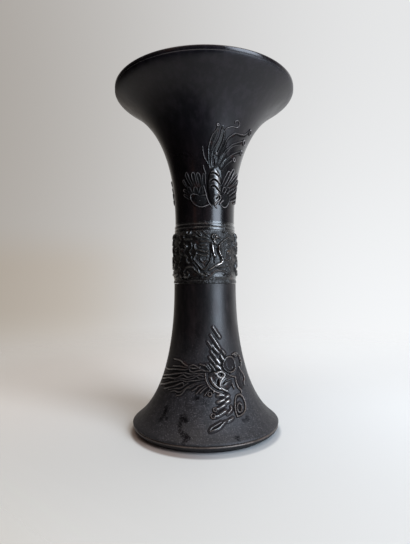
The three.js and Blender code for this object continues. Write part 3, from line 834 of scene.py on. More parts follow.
NECK_PLUMES_RUBBED = [
    [(219, 163), (220.5, 159.5), (222, 156.5), (224, 153)],
    [(221, 166), (223.4, 162.6), (226, 159.4)],
]
NECK_CUTS = [
    [(211, 173), (213.8, 172.8), (216.5, 174.2), (219, 176.8)],
    [(210.6, 181.4), (213, 179.6), (215.4, 180.2), (217.6, 182), (219.8, 185)],
    [(210.8, 187), (213, 185.8), (215, 187), (217.4, 189.4), (219.8, 192.4)],
    [(213.2, 165), (213.4, 161), (213.2, 156.6)],
]
NECK_WING_PADS = [((199, 200.4), 6.6), ((225.4, 199.6), 5.4)]
NECK_WING_DOT = [(199.9, 200.7)]
NECK_BODY = ((214.7, 187), 6.1, 15.4, 2.1)
NECK_HEAD = [
    (213.4, 198.6), (214.4, 195.6), (217.4, 194.6), (220, 196), (219.8, 199.4),
    (217.4, 201.8), (214.6, 202.2),
]
NECK_HEAD_EYE = [(216, 198.6), (217.4, 197.6)]
NECK_BEAK = [(222.8, 200.4), (221.4, 202), (219.6, 204.4)]
NECK_CREST = [(215.2, 203), (215.6, 206), (217, 208)]


def draw_neck_tail(wax):
    wax.lines(NECK_BLADES, half_width=2.0, rise=0.6, ends=(0.9, 0.5), fullness=0.25)
    wax.rub(NECK_BLADES, half_width=3.4, shine=0.74)
    wax.lines(NECK_PLUMES, half_width=0.56, rise=0.85)
    for index in NECK_DOUBLED:
        wax.line(wax.seen(*NECK_PLUMES[index]) + NECK_TWIN_STEP, half_width=0.42, rise=0.62)
    for index, lean in NECK_BARBED:
        barbs(wax, wax.seen(*NECK_PLUMES[index]), length=3.2, spacing=1.4, lean=lean)
    for pixel, radius in NECK_EYES:
        wax.eye(pixel, radius, rise=1.3)
    wax.rub(NECK_PLUMES_RUBBED, half_width=0.9, shine=0.86)


def draw_neck_wings(wax):
    for loop in NECK_LOOPS:
        rimmed(wax, wax.seen(*loop))
    for root, tip in NECK_RIGHT_FEATHERS:
        shaft = wax.seen(root, tip)
        feather(wax, *shaft, half_width=1.5, rise=1.25, edge=0.62)
        for lean in (40, -40):
            barbs(wax, shaft, length=1.5, spacing=1.5, lean=lean)
    for root, tip in NECK_RIGHT_BEYOND:
        feather(wax, root, tip, half_width=1.6, rise=1.25, edge=0.62)
    for pixel, half_width in NECK_WING_PADS:
        wax.pad(*wax.seen(pixel)[0], half_width, half_length=5.0, rise=1.0)
    wax.lines(NECK_RIDGES, half_width=0.62, rise=1.1)
    wax.pads(NECK_WING_DOT, radius=0.8, rise=1.5)


def draw_neck_body(wax):
    pixel, half_width, half_length, rise = NECK_BODY
    wax.pad(*wax.seen(pixel)[0], half_width, half_length, rise)
    wax.cuts(NECK_CUTS, half_width=0.9, depth=1.4)
    wax.lines([NECK_HEAD], half_width=0.85, rise=2.5)
    wax.cuts([NECK_HEAD_EYE], half_width=0.9, depth=1.2)
    wax.lines([NECK_BEAK], half_width=1.1, rise=2.0, ends=(0.9, 0.5))
    wax.lines([NECK_CREST], half_width=0.8, rise=1.2, ends=(1.0, 0.5))
    wax.rub([NECK_RUBBED], half_width=3.8)


def draw_neck_bird():
    wax = Wax(neck_wall, *NECK_GRID)
    for pixel, half_width, half_length, tilt in NECK_BEDS:
        wax.pad(*wax.seen(pixel)[0], half_width, half_length, rise=0.3, tilt=tilt, fullness=0.3)
    draw_neck_tail(wax)
    draw_neck_wings(wax)
    draw_neck_body(wax)
    return wax


neck_wax = draw_neck_bird()
print("neck bird highest point in mm:", round(neck_wax.heights().max(), 2))

# %% [markdown]
# A drawing becomes a casting in four moves. A flat grid covers the drawing. Faces with no wax on
# them are deleted. The rest is extruded, which leaves a back, gives a front and walls it all round.
# Then the front goes out to the height of the wax and the back goes a little into the bronze, both
# bent round the vase. Each point keeps as attributes how far it stands out and how much it is rubbed.

# %% From wax to bronze
SKIRT = 0.5
EDGE_SINK = 0.05
LEAST_WAX = 0.02
FILL_ROUNDS = 4


def solid_spots(height):
    """Which squares of the grid hold wax, with corners that only touch filled in."""
    held = (height[:-1, :-1] + height[1:, :-1] + height[:-1, 1:] + height[1:, 1:]) > LEAST_WAX
    for _ in range(FILL_ROUNDS):
        a, b, c, d = held[:-1, :-1], held[:-1, 1:], held[1:, :-1], held[1:, 1:]
        crossed = (a & d & ~b & ~c) | (b & c & ~a & ~d)
        for part in (a, b, c, d):
            part |= crossed
    return held


def cast_relief(name, wax, turn, replaced):
    height = wax.heights()
    held = solid_spots(height)
    rows, columns = height.shape
    bm = bmesh.new()
    bmesh.ops.create_grid(bm, x_segments=columns - 1, y_segments=rows - 1, size=1)
    spread = ((columns - 1) / 2, (rows - 1) / 2, 1)
    bmesh.ops.scale(bm, vec=spread, verts=bm.verts)
    bmesh.ops.translate(bm, vec=(spread[0], spread[1], 0), verts=bm.verts)
    bare = []
    for face in bm.faces:
        middle = face.calc_center_median()
        if not held[int(middle.y), int(middle.x)]:
            bare.append(face)
    bmesh.ops.delete(bm, geom=bare, context="FACES")
    for layer in ("crest", "polish"):
        bm.verts.layers.float.new(layer)
    back = list(bm.verts)
    grown = bmesh.ops.extrude_face_region(bm, geom=bm.faces[:], use_keep_orig=True)["geom"]
    front = [part for part in grown if isinstance(part, bmesh.types.BMVert)]
    crest_layer, polish_layer = [bm.verts.layers.float[layer] for layer in ("crest", "polish")]
    crests = wax.crests()
    for verts, is_front in ((back, False), (front, True)):
        spots = np.array([(round(v.co.x), round(v.co.y)) for v in verts])
        tall = height[spots[:, 1], spots[:, 0]]
        out = tall - EDGE_SINK if is_front else np.full(len(verts), -SKIRT)
        x, y = wax.x[spots[:, 0]], wax.y[spots[:, 1]]
        crest = crests[spots[:, 1], spots[:, 0]] * is_front
        polish = wax.polish[spots[:, 1], spots[:, 0]] * is_front
        for vert, place, stand, rubbed in zip(verts, wax.wall.bend(x, y, out, turn), crest, polish):
            vert.co = place
            vert[crest_layer] = stand
            vert[polish_layer] = rubbed
    return add_piece(name, bm, replaced)


neck_front = cast_relief("neck_bird", neck_wax, 0.0, ["neck_bird_front"])
neck_back = cast_relief("neck_bird_rear", neck_wax, math.pi, ["neck_bird_back"])

# %% [markdown]
# The foot bird flies to the right with one wing up and one down. Its tail is a bundle of wavy lines
# that stream to the left. The body is a pad with a deep crescent cut round its back and an S-shaped
# ridge.

# %% Drawing of the foot bird
FOOT_PITCH = 0.26
FOOT_GRID = (-52, 44, 6, 100)
FOOT_LEAVES = [
    ([(213.2, 327.2), (215, 330), (217.4, 333.6), (220, 337.2)], 1.1, 1.0),
    ([(210.8, 335.2), (213.4, 338.6), (216.4, 343), (220, 348.6)], 1.2, 1.0),
    ([(212.4, 345.6), (214.6, 348.4), (216.6, 350.6), (218.8, 352.6)], 1.3, 1.0),
    ([(211, 351.6), (213, 353.8), (215.6, 356.8)], 1.2, 0.85),
    ([(209.4, 357.4), (212, 360.4), (215, 364.2)], 1.1, 0.4),
    ([(210, 364.2), (212.4, 367), (215.4, 371)], 1.1, 0.3),
    ([(206.6, 364.6), (208.6, 366.6), (210.6, 369.4)], 0.9, 0.2),
    ([(207.6, 341.4), (209.6, 344), (211.6, 347.6)], 0.9, 0.2),
    ([(216.6, 359.6), (218, 361.2), (219.8, 363.4)], 2.1, 1.0),
    ([(216.2, 366.2), (218.2, 367), (220.6, 368.6)], 2.0, 1.0),
    ([(221.2, 355.8), (222.4, 357.8), (223.8, 359.8)], 1.6, 0.96),
    ([(222.4, 350.8), (223.6, 352.4), (224.8, 354.2)], 1.2, 0.4),
    ([(217.4, 396.2), (219.4, 395.6), (221.6, 395.4), (224.2, 395.6)], 1.1, 1.0),
    ([(226, 397.8), (227.4, 396.8), (228.8, 396.2)], 1.4, 1.0),
    ([(217.8, 402.8), (220.4, 401.8), (222.4, 401), (224.4, 399.8)], 1.15, 1.0),
    ([(226.2, 402.6), (227.8, 402), (229.4, 401)], 1.6, 1.0),
    ([(214.6, 410.6), (218, 409.4)], 1.1, 0.1),
    ([(218, 409.4), (221.4, 407.4), (225, 405.2)], 1.05, 0.96),
    ([(213, 417.4), (218, 416.4)], 1.2, 0.1),
    ([(218, 416.4), (221.6, 414.2), (226, 411.4)], 1.1, 0.96),
    ([(231.4, 407), (232, 409.4), (230.6, 411.8), (228.2, 414)], 1.0, 0.85),
    ([(228.4, 421.4), (230.6, 420.4), (233, 418.6)], 1.15, 0.85),
    ([(210.4, 432.4), (214, 431), (218, 429.2)], 1.0, 0.1),
    ([(218, 429.2), (220, 427.8), (222.4, 425.4), (225.2, 422.4)], 1.0, 0.85),
    ([(209.8, 431.4), (212, 428.4), (215, 426.6), (218.2, 424.8), (221.4, 422.6)], 0.75, 0.1),
]
FOOT_TAIL = [
    [(210, 371), (207.5, 368.5), (205.5, 366.2), (202.5, 365.2), (199.6, 364.4)],
    [(204, 370.6), (199.7, 369), (196.5, 366.7), (193.5, 365.2), (190.5, 365.8), (188, 366.7),
     (183.5, 364), (180.5, 361), (176.8, 359.6), (173.8, 358.8)],
    [(210, 371.7), (206, 371.3), (201, 370.8), (197, 371.3), (193, 372.3), (190, 371.4),
     (188.6, 369.4), (185, 370), (180, 369.7), (174, 369), (169, 369.4), (165.8, 367.8)],
    [(206, 374.4), (200, 373.9), (195, 374), (190, 374.4), (185, 373.2), (180, 373.4), (174, 374),
     (168, 375), (161.4, 374.6)],
    [(204.5, 378.8), (200, 379), (197.5, 377.7), (195, 376.2), (190.5, 376.6), (187, 377.6),
     (183.4, 375.2), (180.5, 376), (177, 378), (173.5, 378.5), (168, 377.5), (164, 378.4),
     (159, 377.4)],
    [(206, 379.4), (200, 380.3), (195, 381), (190, 381.3), (186, 382), (181, 380.4), (176, 381.4),
     (170, 382.4), (163.4, 384), (158.8, 383.2)],
    [(207, 381.4), (198, 383), (193, 384.8), (189, 386.5), (185.5, 388.5), (182.5, 390.8),
     (180, 392.2), (177, 392.3), (174.5, 391), (170.4, 391.4)],
    [(187.6, 383.6), (183.4, 386), (183.3, 383.8), (181.5, 383), (178, 384.5), (174, 386.2),
     (170, 387.3), (163.6, 388.6)],
    [(205, 383), (197, 384.5), (193.5, 386), (190, 388), (186, 388.7), (181, 394.6), (176, 396)],
    [(206, 384), (198.5, 386.5), (195.5, 389), (192, 391)],
    [(200, 367.4), (195.4, 368.6), (191, 368.4), (184.4, 367.4), (178.6, 366.4), (172.4, 366)],
    [(203, 376.6), (198, 375.4), (192.4, 378.8), (186, 379.6), (180.4, 378.6), (174, 380.2)],
    [(186, 384.6), (180, 388.4), (174.4, 388.8), (168, 389.8)],
    [(207, 385.4), (204, 387), (200.5, 389.5), (198, 392), (196, 394)],
    [(210, 385.5), (207, 387.5), (203.5, 390), (200, 393.5)],
    [(211.6, 388), (209, 390.6), (206.6, 393), (204.6, 396)],
]
FOOT_RIDGES = [
    [(223, 366), (223.4, 363.6), (224.8, 360.4), (226.4, 358), (229, 356.9), (231.5, 357.3),
     (233.5, 359.5), (234.7, 362.5), (235.2, 366)],
    [(223, 366), (224, 368.4), (226.2, 370.6), (229, 372.2), (232.4, 372), (235, 369.6),
     (235.2, 366)],
    [(227, 362.4), (226.6, 366), (228.3, 368.9), (230.4, 369.4), (232.3, 368), (231.6, 366),
     (229.8, 366.2)],
    [(219, 368), (221.5, 370.2), (224, 371.8), (227, 374), (231, 376), (235, 377)],
    [(239, 356), (240.2, 358.5), (241.3, 362), (241, 366)],
    [(232.4, 354.8), (235, 353.2), (237.6, 353.8)],
    [(239.2, 367), (240.6, 370), (243, 374), (244.6, 377.6), (244.4, 381), (244.7, 385)],
    [(235.5, 377), (236, 381), (237, 384.5), (238.5, 387.5), (241, 390.3), (241.6, 393)],
    [(232.2, 383.6), (233.4, 386), (234.4, 388.6)],
    [(236.5, 396), (239.5, 394.6), (241.6, 395.5), (243.6, 398.5), (245, 402), (245.7, 406.5),
     (245.2, 411), (243.4, 414), (240.6, 416), (237.6, 416.9)],
    [(236.5, 396), (235.4, 400), (235.2, 405), (235.6, 411), (237.6, 416.9)],
    [(239.4, 403.4), (241.6, 405), (242.2, 408), (241.6, 411), (239.8, 412.8), (238, 411),
     (237.6, 407.8), (238, 405), (239.4, 403.4)],
    [(231, 406.6), (231.8, 409), (230.8, 411.5), (228.4, 413.8)],
    [(205.2, 374), (205.5, 377.5), (206.2, 381), (207.8, 384.4), (210.2, 388), (213.6, 390.8),
     (217, 392.6), (222, 394)],
]
FOOT_BOLD = [
    [(216.6, 376), (216.8, 373.9), (218.8, 372.4), (221.4, 372.2), (223.4, 373.4), (224.4, 375.6),
     (223, 378.5), (221, 381), (219.9, 384), (220.3, 387), (222, 389), (224.5, 390.5),
     (227.6, 391.6)],
    [(214.6, 373.4), (216.6, 374.8), (218, 377), (220.8, 378.3)],
    [(210.7, 378.4), (212.2, 381.7), (214.5, 385), (217, 387.5), (220.4, 389.4)],
]
FOOT_CUTS = [
    [(207, 373.6), (207, 377), (208.3, 381.4), (210.6, 385.2), (213.4, 388), (216.4, 390),
     (220, 391.4), (224, 392.4)],
    [(223, 384.4), (226, 381.4), (232, 378.8)],
    [(240, 372), (241.6, 378), (243, 384)],
    [(220.6, 374.2), (221, 375.6)],
    [(237.6, 401.4), (238.6, 399), (240.6, 398.4), (242.4, 400.4), (243.6, 404), (244, 408),
     (243, 412)],
    [(237.8, 399.8), (239.8, 400), (241.6, 401.4)],
    [(234.8, 358), (236.6, 361.6), (237.6, 365.6)],
    [(218.2, 380.2), (217.6, 383), (218, 385.6)],
]
FOOT_PADS = [
    ((220, 381.6), 11.6, 9.0, 1.5, -6),
    ((229, 364.8), 7.0, 7.0, 1.1, 0),
    ((240.3, 405.6), 5.0, 8.6, 0.4, 0),
    ((240.4, 379), 4.4, 9.0, 0.9, 12),
    ((235.6, 354.8), 3.6, 2.2, 1.3, -10),
    ((222, 379), 1.9, 2.2, 2.2, 0),
]
FOOT_EYES = [((209.8, 394.8), 1.6), ((215, 410.2), 1.5), ((213.2, 416.8), 1.8)]
FOOT_BEADS = [
    (213.6, 392.4), (234.4, 354.6), (236.8, 353.4),
    (238.8, 355.6), (239.8, 358.6), (240.6, 361.6),
]


def draw_foot_bird():
    wax = Wax(foot_wall, *FOOT_GRID, FOOT_PITCH)
    wax.lines(FOOT_TAIL, half_width=2.2, rise=0.22, ends=(1.0, 0.6), fullness=0.5)
    wax.lines(FOOT_TAIL, half_width=0.82, rise=1.0)
    for pixels, half_width, shine in FOOT_LEAVES:
        wax.lines([pixels], half_width=2.3, rise=0.5, ends=(0.8, 0.9), fullness=0.3)
        wax.lines([pixels], half_width, rise=1.2, ends=(0.7, 0.8), fullness=0.8)
        wax.rub([pixels], half_width, shine)
    for pixel, half_width, half_length, rise, tilt in FOOT_PADS:
        wax.pad(*wax.seen(pixel)[0], half_width, half_length, rise, tilt)
    wax.lines(FOOT_RIDGES, half_width=1.1, rise=1.35)
    wax.lines(FOOT_BOLD, half_width=1.65, rise=2.2)
    wax.rub(FOOT_BOLD, half_width=1.9)
    wax.cuts(FOOT_CUTS, half_width=1.05, depth=1.6)
    for pixel, radius in FOOT_EYES:
        wax.eye(pixel, radius, rise=1.4)
    wax.pads(FOOT_BEADS, radius=0.95, rise=1.7)
    return wax


foot_wax = draw_foot_bird()
print("foot bird highest point in mm:", round(foot_wax.heights().max(), 2))
foot_front = cast_relief("foot_bird", foot_wax, 0.0, ["foot_bird_front"])
foot_back = cast_relief("foot_bird_rear", foot_wax, math.pi, ["foot_bird_back"])

# %% [markdown]
# The band's drawing shows a bird's head and breast among waves and curls. Its front is traced, and
# its sides, which the photograph shows only as a bumpy outline, carry more waves and curls. Two low
# rounds above the relief and a plain fillet below it frame the band.

# %% Drawing of the band
BAND_RADIUS = 28.2
SLEEVE_INNER = 24.4
HALF_ROUND = math.pi * BAND_RADIUS
SIDES_LIFT = -2.0
BAND_PITCH = 0.34
BAND_OVERLAP = 6
BAND_DEEPEST = -0.9
PIN_HEIGHT = 154.3
BAND_BOLD = [
    [(228, 237.5), (225, 239.5), (222, 242), (219.5, 245), (218.9, 248.5), (219.4, 252),
     (220.8, 255), (222, 258), (222.5, 261), (220.8, 263.4), (217.8, 264.8), (215, 266),
     (212.5, 268), (209, 269.8)],
    [(212.2, 244.6), (212.5, 248), (213, 251), (213.8, 254), (215.2, 256.5)],
    [(196, 253), (195, 256), (193.6, 259), (196, 262), (198.5, 265), (201, 268), (202.6, 269.4),
     (205.4, 268.3), (207.5, 265.5), (209.4, 262)],
    [(194.4, 244.5), (194.4, 247.2), (195.6, 249.3), (199, 250.2), (202, 251.3), (205, 252.1),
     (207.6, 250.6)],
    [(213.4, 238.6), (214, 240.8), (215.8, 243)],
    [(205, 272.6), (207, 273.7), (209, 274.6)],
]
BAND_FINE = [
    [(223, 238.4), (220.6, 240.6), (217.6, 244.2), (216.6, 248)],
    [(223.4, 243), (221.6, 246), (221.2, 250), (222.2, 253.4), (224, 257)],
    [(183.4, 235.6), (183.3, 238), (184.8, 239.4), (188, 239.4), (191.6, 239.1)],
    [(192, 235.4), (194.4, 235.3), (196.4, 236.8), (198.2, 237.7), (200.4, 237.5)],
    [(197.4, 230.8), (199.4, 232.7), (201, 234.8)],
    [(202.2, 230.9), (204.5, 233), (207, 235), (209.4, 236.8)],
    [(194.6, 231.4), (196.4, 233), (198.6, 234.6), (201, 236.6), (204.6, 237.6), (208, 238.6)],
    [(200.8, 245.6), (203.2, 245), (205.8, 244.6)],
    [(198, 247.4), (201, 247.8), (204.4, 248.2), (207, 247.6)],
    [(197, 254), (200, 254.6), (203, 255.4), (206, 255), (208.4, 253.4)],
    [(190.2, 249.4), (188.7, 251.6), (189.2, 253.6), (190.6, 254.9)],
    [(185.4, 267.4), (189, 267), (192.6, 267.8), (194.6, 270), (197, 272), (200, 273.6),
     (203.4, 275), (206.4, 275.6)],
    [(197.8, 269.4), (198.6, 272)],
    [(206, 278), (209.5, 276.5), (212, 274), (214.5, 271.6), (217.5, 270.5), (221, 270.3),
     (224, 271)],
    [(214, 266.4), (217, 266.9), (220.6, 267.2), (224, 266.8), (228, 265)],
    [(184.6, 269.3), (183.2, 271.5), (183.5, 274), (185, 275)],
    [(186.4, 271.8), (188.1, 273.6), (187.8, 276), (186, 277), (183.6, 276.4)],
    [(224.5, 254), (226.8, 251.4), (229.4, 251.3), (232, 254.4)],
    [(226.4, 246), (228.4, 243.6), (230.6, 244.8), (231.4, 248)],
    [(229, 238), (232, 239.4), (234, 242), (234.6, 246)],
    [(225, 258.6), (227.4, 260.4), (230, 259.6), (231.6, 256.8)],
    [(226.6, 264), (229, 267), (230.4, 271), (232.2, 274.6)],
    [(228, 232.6), (230.6, 233.6), (233, 236)],
    [(178, 246), (179.6, 250), (178.6, 254), (180.2, 258), (178.8, 262)],
    [(183, 243.6), (185.4, 246.4), (184.2, 249.4), (182.2, 251)],
    [(184, 255), (186.4, 257.6), (186, 261), (188.6, 263.4)],
    [(178.6, 236), (180.4, 240.4), (178.4, 243)],
    [(190.4, 243), (191.2, 246), (190.6, 248)],
    [(200, 240.6), (203, 241.4), (207, 241), (210, 241.8)],
    [(190.6, 257), (191.6, 260.6), (194.4, 264.4), (197, 267.4)],
    [(199.6, 258.6), (202, 261.6), (204.4, 262.4), (207, 260)],
    [(177.6, 266), (179.6, 269), (178.6, 273), (180.4, 276.6)],
]
BAND_CUTS = [
    [(219.8, 241.6), (218, 244.6), (217.2, 247.4), (217.3, 250.4), (218.4, 253.6), (220, 256.4),
     (221, 259), (220.8, 262)],
    [(208.8, 243.4), (209.4, 248), (209.8, 253), (209.4, 257.6), (207.8, 262.4), (205, 266.4)],
    [(214.3, 257.2), (213.8, 260), (213.5, 262.8)],
    [(209.6, 243.4), (212.4, 243.2), (215.4, 244.6)],
    [(224.4, 254), (226.4, 251.6), (229.4, 251.4), (231.6, 253.6)],
    [(216, 268), (219, 268.2), (222, 267.8)],
]
BAND_RUBBED = [
    ([(212.2, 244.6), (212.5, 248), (213, 251), (213.8, 254), (215.2, 256.5)], 1.0),
    ([(219.4, 246), (219.4, 251), (221, 255.4), (222.4, 260), (220.8, 263.4), (217.8, 264.8)], 1.0),
    ([(217, 265.2), (214, 266.8), (210, 269.4)], 0.88),
    ([(212.2, 236.4), (214.2, 234.6), (216.2, 236.6), (214.4, 238.4), (214.4, 241),
      (215.8, 243)], 1.0),
]
BAND_BROAD = [(212.2, 243.4), (212.6, 247.6), (213.2, 251), (214, 254), (215.2, 256.5)]
BAND_SIDES = [
    [(34, 45), (35.6, 40), (33.6, 35.4), (35.6, 30.6), (39.6, 28)],
    [(36.6, 21), (33.2, 17.4), (34.4, 12.6), (38.4, 9.6)],
    [(-33, 22), (-36.6, 26.6), (-35.4, 32), (-38.6, 37), (-43, 39)],
    [(-30, 20), (-33.4, 15.6), (-38, 14.4), (-43, 16.6)],
    [(-41.6, 9), (-37, 10.6), (-32, 9), (-28, 10.4)],
    [(38, 46.4), (41.6, 43), (45.6, 43.6), (49, 46)],
    [(40, 38.6), (44.2, 36), (48.4, 37), (50, 40)],
    [(33, 27), (36, 24.4), (40.4, 25.4)],
]
BAND_CURLS = [
    (41, 19, 4.2, 180, -1.5), (42.6, 32, 3.4, 300, 1.3), (-40, 22, 3.8, 40, 1.4),
    (-36, 43, 3.4, 250, -1.4), (39.4, 10.6, 2.8, 30, 1.3), (-31, 29.6, 3.2, 60, 1.3),
    (30.6, 35, 3.0, 200, -1.3),
]
BAND_EYES = [((214.2, 236.6), 2.0), ((188, 232.4), 1.7), ((224.4, 230.8), 1.1), ((185.6, 246.6), 0.9)]
BAND_BEAK = [(216.2, 236.8), (218.6, 237.4), (220.6, 238.8)]


def draw_band():
    wall = Wall(np.array([(BAND_RADIUS, BAND_LOW), (BAND_RADIUS, BAND_HIGH)]))
    reach = HALF_ROUND / 2 + BAND_OVERLAP
    wax = Wax(wall, -reach, reach, 0, BAND_HIGH - BAND_LOW, BAND_PITCH, BAND_DEEPEST)
    wax.lines(BAND_FINE, half_width=0.75, rise=0.95)
    wax.lines(BAND_BOLD, half_width=1.0, rise=1.6)
    wax.lines([BAND_BROAD], half_width=1.5, rise=1.6)
    wax.lines([BAND_BEAK], half_width=0.9, rise=1.5, ends=(1.0, 0.4))
    for points in BAND_SIDES:
        wax.line([(x, y + SIDES_LIFT) for x, y in points], half_width=0.9, rise=1.5)
    for x, y, radius, start, turns in BAND_CURLS:
        wax.curl(x, y + SIDES_LIFT, radius, start, turns, half_width=0.8, rise=1.5)
    for pixel, radius in BAND_EYES:
        wax.eye(pixel, radius, rise=1.8)
    for x in (-HALF_ROUND / 4, HALF_ROUND / 4):
        wax.pad(x, PIN_HEIGHT - BAND_LOW, half_width=3.4, half_length=3.2, rise=1.3)
    wax.cuts(BAND_CUTS, half_width=0.85, depth=1.0)
    for pixels, shine in BAND_RUBBED:
        wax.rub([pixels], half_width=1.5, shine=shine)
    return wax


band_wax = draw_band()
print("band highest point in mm:", round(band_wax.heights().max(), 2))

# %% [markdown]
# The band itself is one grid wrapped into a tube. Its two upright edges meet and are merged, its two
# ends are extruded inwards, and a bridge closes the bore. The wax is added to the plain radius of the
# sleeve, and the drawing repeats on the back.

# %% Casting the band
BAND_GROUND_LOW = 130.6
BAND_GROUND_HIGH = 172.2
BEAD_HEIGHTS = (173.8, 176.8)
BEAD_HALF = 1.5
BEAD_PROUD = 0.45
FRAME_FADE = 1.2
PLAIN_POLISH = [(130.4, 0), (131, 0.5), (135, 0.5), (137.4, 0), (171.4, 0), (172.6, 0.8)]
BAND_KNOTS = [
    (BAND_LOW, 27.9), (BAND_LOW + 0.4, 28.1), (129.2, 28.1), (129.6, 27.9), (130.1, 27.5),
    (BAND_GROUND_LOW, 27.7), (133, BAND_RADIUS), (168, BAND_RADIUS), (BAND_GROUND_HIGH, 26.9),
    (178.4, 26.6), (BAND_HIGH, NECK_RADIUS),
]
SEAM_GAP = 1e-6


def band_profile(height):
    """The band's radius without relief, by height above the table."""
    radius = np.interp(height, *np.array(BAND_KNOTS).T)
    for middle in BEAD_HEIGHTS:
        radius = radius + BEAD_PROUD * np.clip(1 - ((height - middle) / BEAD_HALF) ** 2, 0, 1) ** 0.7
    return radius


def band_relief(wax, x, height):
    """A value of the wax at a place round the band. The drawing repeats on the back."""
    across = (x + HALF_ROUND / 2) % HALF_ROUND - HALF_ROUND / 2
    row = np.clip(np.round((height - BAND_LOW) / BAND_PITCH).astype(int), 0, wax.shape[0] - 1)
    total = -np.inf
    for shift in (-HALF_ROUND, 0.0, HALF_ROUND):
        column = np.round((across + shift - band_wax.x[0]) / BAND_PITCH).astype(int)
        inside = (column >= 0) & (column < wax.shape[1])
        value = wax[row, np.clip(column, 0, wax.shape[1] - 1)]
        total = np.maximum(total, np.where(inside, value, -np.inf))
    frame_edge = np.minimum(height - BAND_GROUND_LOW, BAND_GROUND_HIGH - height)
    return total * np.clip(frame_edge / FRAME_FADE, 0, 1)


def cast_band():
    tall = BAND_HIGH - BAND_LOW
    columns, rows = round(2 * HALF_ROUND / BAND_PITCH), round(tall / BAND_PITCH)
    bm = bmesh.new()
    bmesh.ops.create_grid(bm, x_segments=columns, y_segments=rows, size=1)
    for layer in ("crest", "polish"):
        bm.verts.layers.float.new(layer)
    crest_layer, polish_layer = [bm.verts.layers.float[layer] for layer in ("crest", "polish")]
    flat = np.array([vert.co for vert in bm.verts])
    x = flat[:, 0] * HALF_ROUND
    height = (BAND_LOW + BAND_HIGH) / 2 + flat[:, 1] * tall / 2
    reach = band_profile(height) + band_relief(band_wax.heights(), x, height)
    angle = x / BAND_RADIUS - math.pi / 2
    crest = band_relief(band_wax.crests(), x, height)
    plain = np.interp(height, *np.array(PLAIN_POLISH).T)
    polish = np.maximum(band_relief(band_wax.polish, x, height), plain)
    for vert, a, r, z, stand, rubbed in zip(bm.verts, angle, reach, height, crest, polish):
        vert.co = (r * math.cos(a) * MM, r * math.sin(a) * MM, z * MM)
        vert[crest_layer] = stand
        vert[polish_layer] = rubbed
    bmesh.ops.remove_doubles(bm, verts=bm.verts, dist=SEAM_GAP)
    ends = [edge for edge in bm.edges if edge.is_boundary]
    grown = bmesh.ops.extrude_edge_only(bm, edges=ends)["geom"]
    for vert in grown:
        if isinstance(vert, bmesh.types.BMVert):
            shrink = SLEEVE_INNER * MM / math.hypot(vert.co.x, vert.co.y)
            vert.co.x *= shrink
            vert.co.y *= shrink
    loops = [edge for edge in bm.edges if edge.is_boundary]
    bmesh.ops.bridge_loops(bm, edges=loops)
    return add_piece("waist_band", bm, ["relief_band"])


band = cast_band()

# %% [markdown]
# Dark bronze gets its colour from a thin skin of oxides and wax over the metal, so it shines more
# like lacquer than like bare metal. The skin is nearly black on the neck, streaked with brown on the
# stem, cooler and duller in the mouth, grey and speckled on the foot, and rubbed to brown on the lip.
# The edge of the foot has a painted highlight along its top and a painted shadow under it. The finish
# reads the height of the point, and noise of several sizes gives the cloudy tones, the grain and the
# pits. The dark stains of the foot are round spots with noise in their edges, and two such spots
# under the foot bird's tail are painted shade.

# %% Finish of the castings
# Dark stains of the foot. The last spot, under the foot bird's tail, is painted shade.
FOOT_STAINS_AND_SHADE = [
    ((166, 408), 3.4), ((164, 414), 3.2), ((160, 420), 3.0), ((166, 419), 2.0),
    ((182, 418.5), 4.0), ((186, 421), 2.6), ((179, 426), 3.0), ((180, 432), 2.4),
    ((184, 436), 3.4), ((188, 439), 3.0), ((183, 443), 2.4), ((248, 418.5), 3.0),
    ((244, 420.5), 2.0), ((238, 438.5), 3.0), ((196, 398), 3.0),
]
# A wider, fainter spot of painted shade under the foot bird's tail.
TAIL_SHADE_SPOT = [((206, 401), 7.0)]
TAIL_SHADE_SHARE = 0.65
SPOT_EDGE = (1.5, 0.3)
ON_FOOT = (0.100, 0.030)
ON_MOUTH = (0.215, 0.275)
ON_LIP = (0.2962, 0.2975)
ON_STEM = (0.130, 0.126)
# The top of the foot's edge takes a painted highlight, and the face under it a painted shadow.
RIM_LOW = (0.0046, 0.0054)
RIM_HIGH = (0.0064, 0.0060)
UNDER_RIM = (0.0052, 0.0042)
DULL_FOOT = (0.092, 0.068)
SKIN_BLACK = rgb(13, 12, 14)
SKIN_BROWN = rgb(24, 20, 20)
STEM_STREAK = rgb(30, 23, 24)
STEM_SPECK = rgb(42, 35, 37)
FOOT_DARK = rgb(22, 20, 23)
FOOT_GREY = rgb(37, 34, 37)
FOOT_SPECK = rgb(72, 67, 69)
STAIN_AND_SHADE_BLACK = rgb(9, 8, 11)
MOUTH_DARK = rgb(18, 16, 22)
MOUTH_COOL = rgb(31, 27, 34)
LIP_BROWN = rgb(58, 48, 42)
RIM_HIGHLIGHT = rgb(98, 84, 75)
UNDER_RIM_SHADOW = rgb(12, 11, 12)


def metal(finish, colour, roughness, bump, metallic, coat=0.0, shine=0.5):
    values = {
        "Base Color": colour, "Roughness": roughness, "Metallic": metallic, "Normal": bump,
        "Specular IOR Level": shine, "Coat Weight": coat, "Coat Roughness": 0.2,
    }
    shader = finish.node("ShaderNodeBsdfPrincipled", None, values)
    finish.node("ShaderNodeOutputMaterial", None, {"Surface": shader})
    return finish.owner


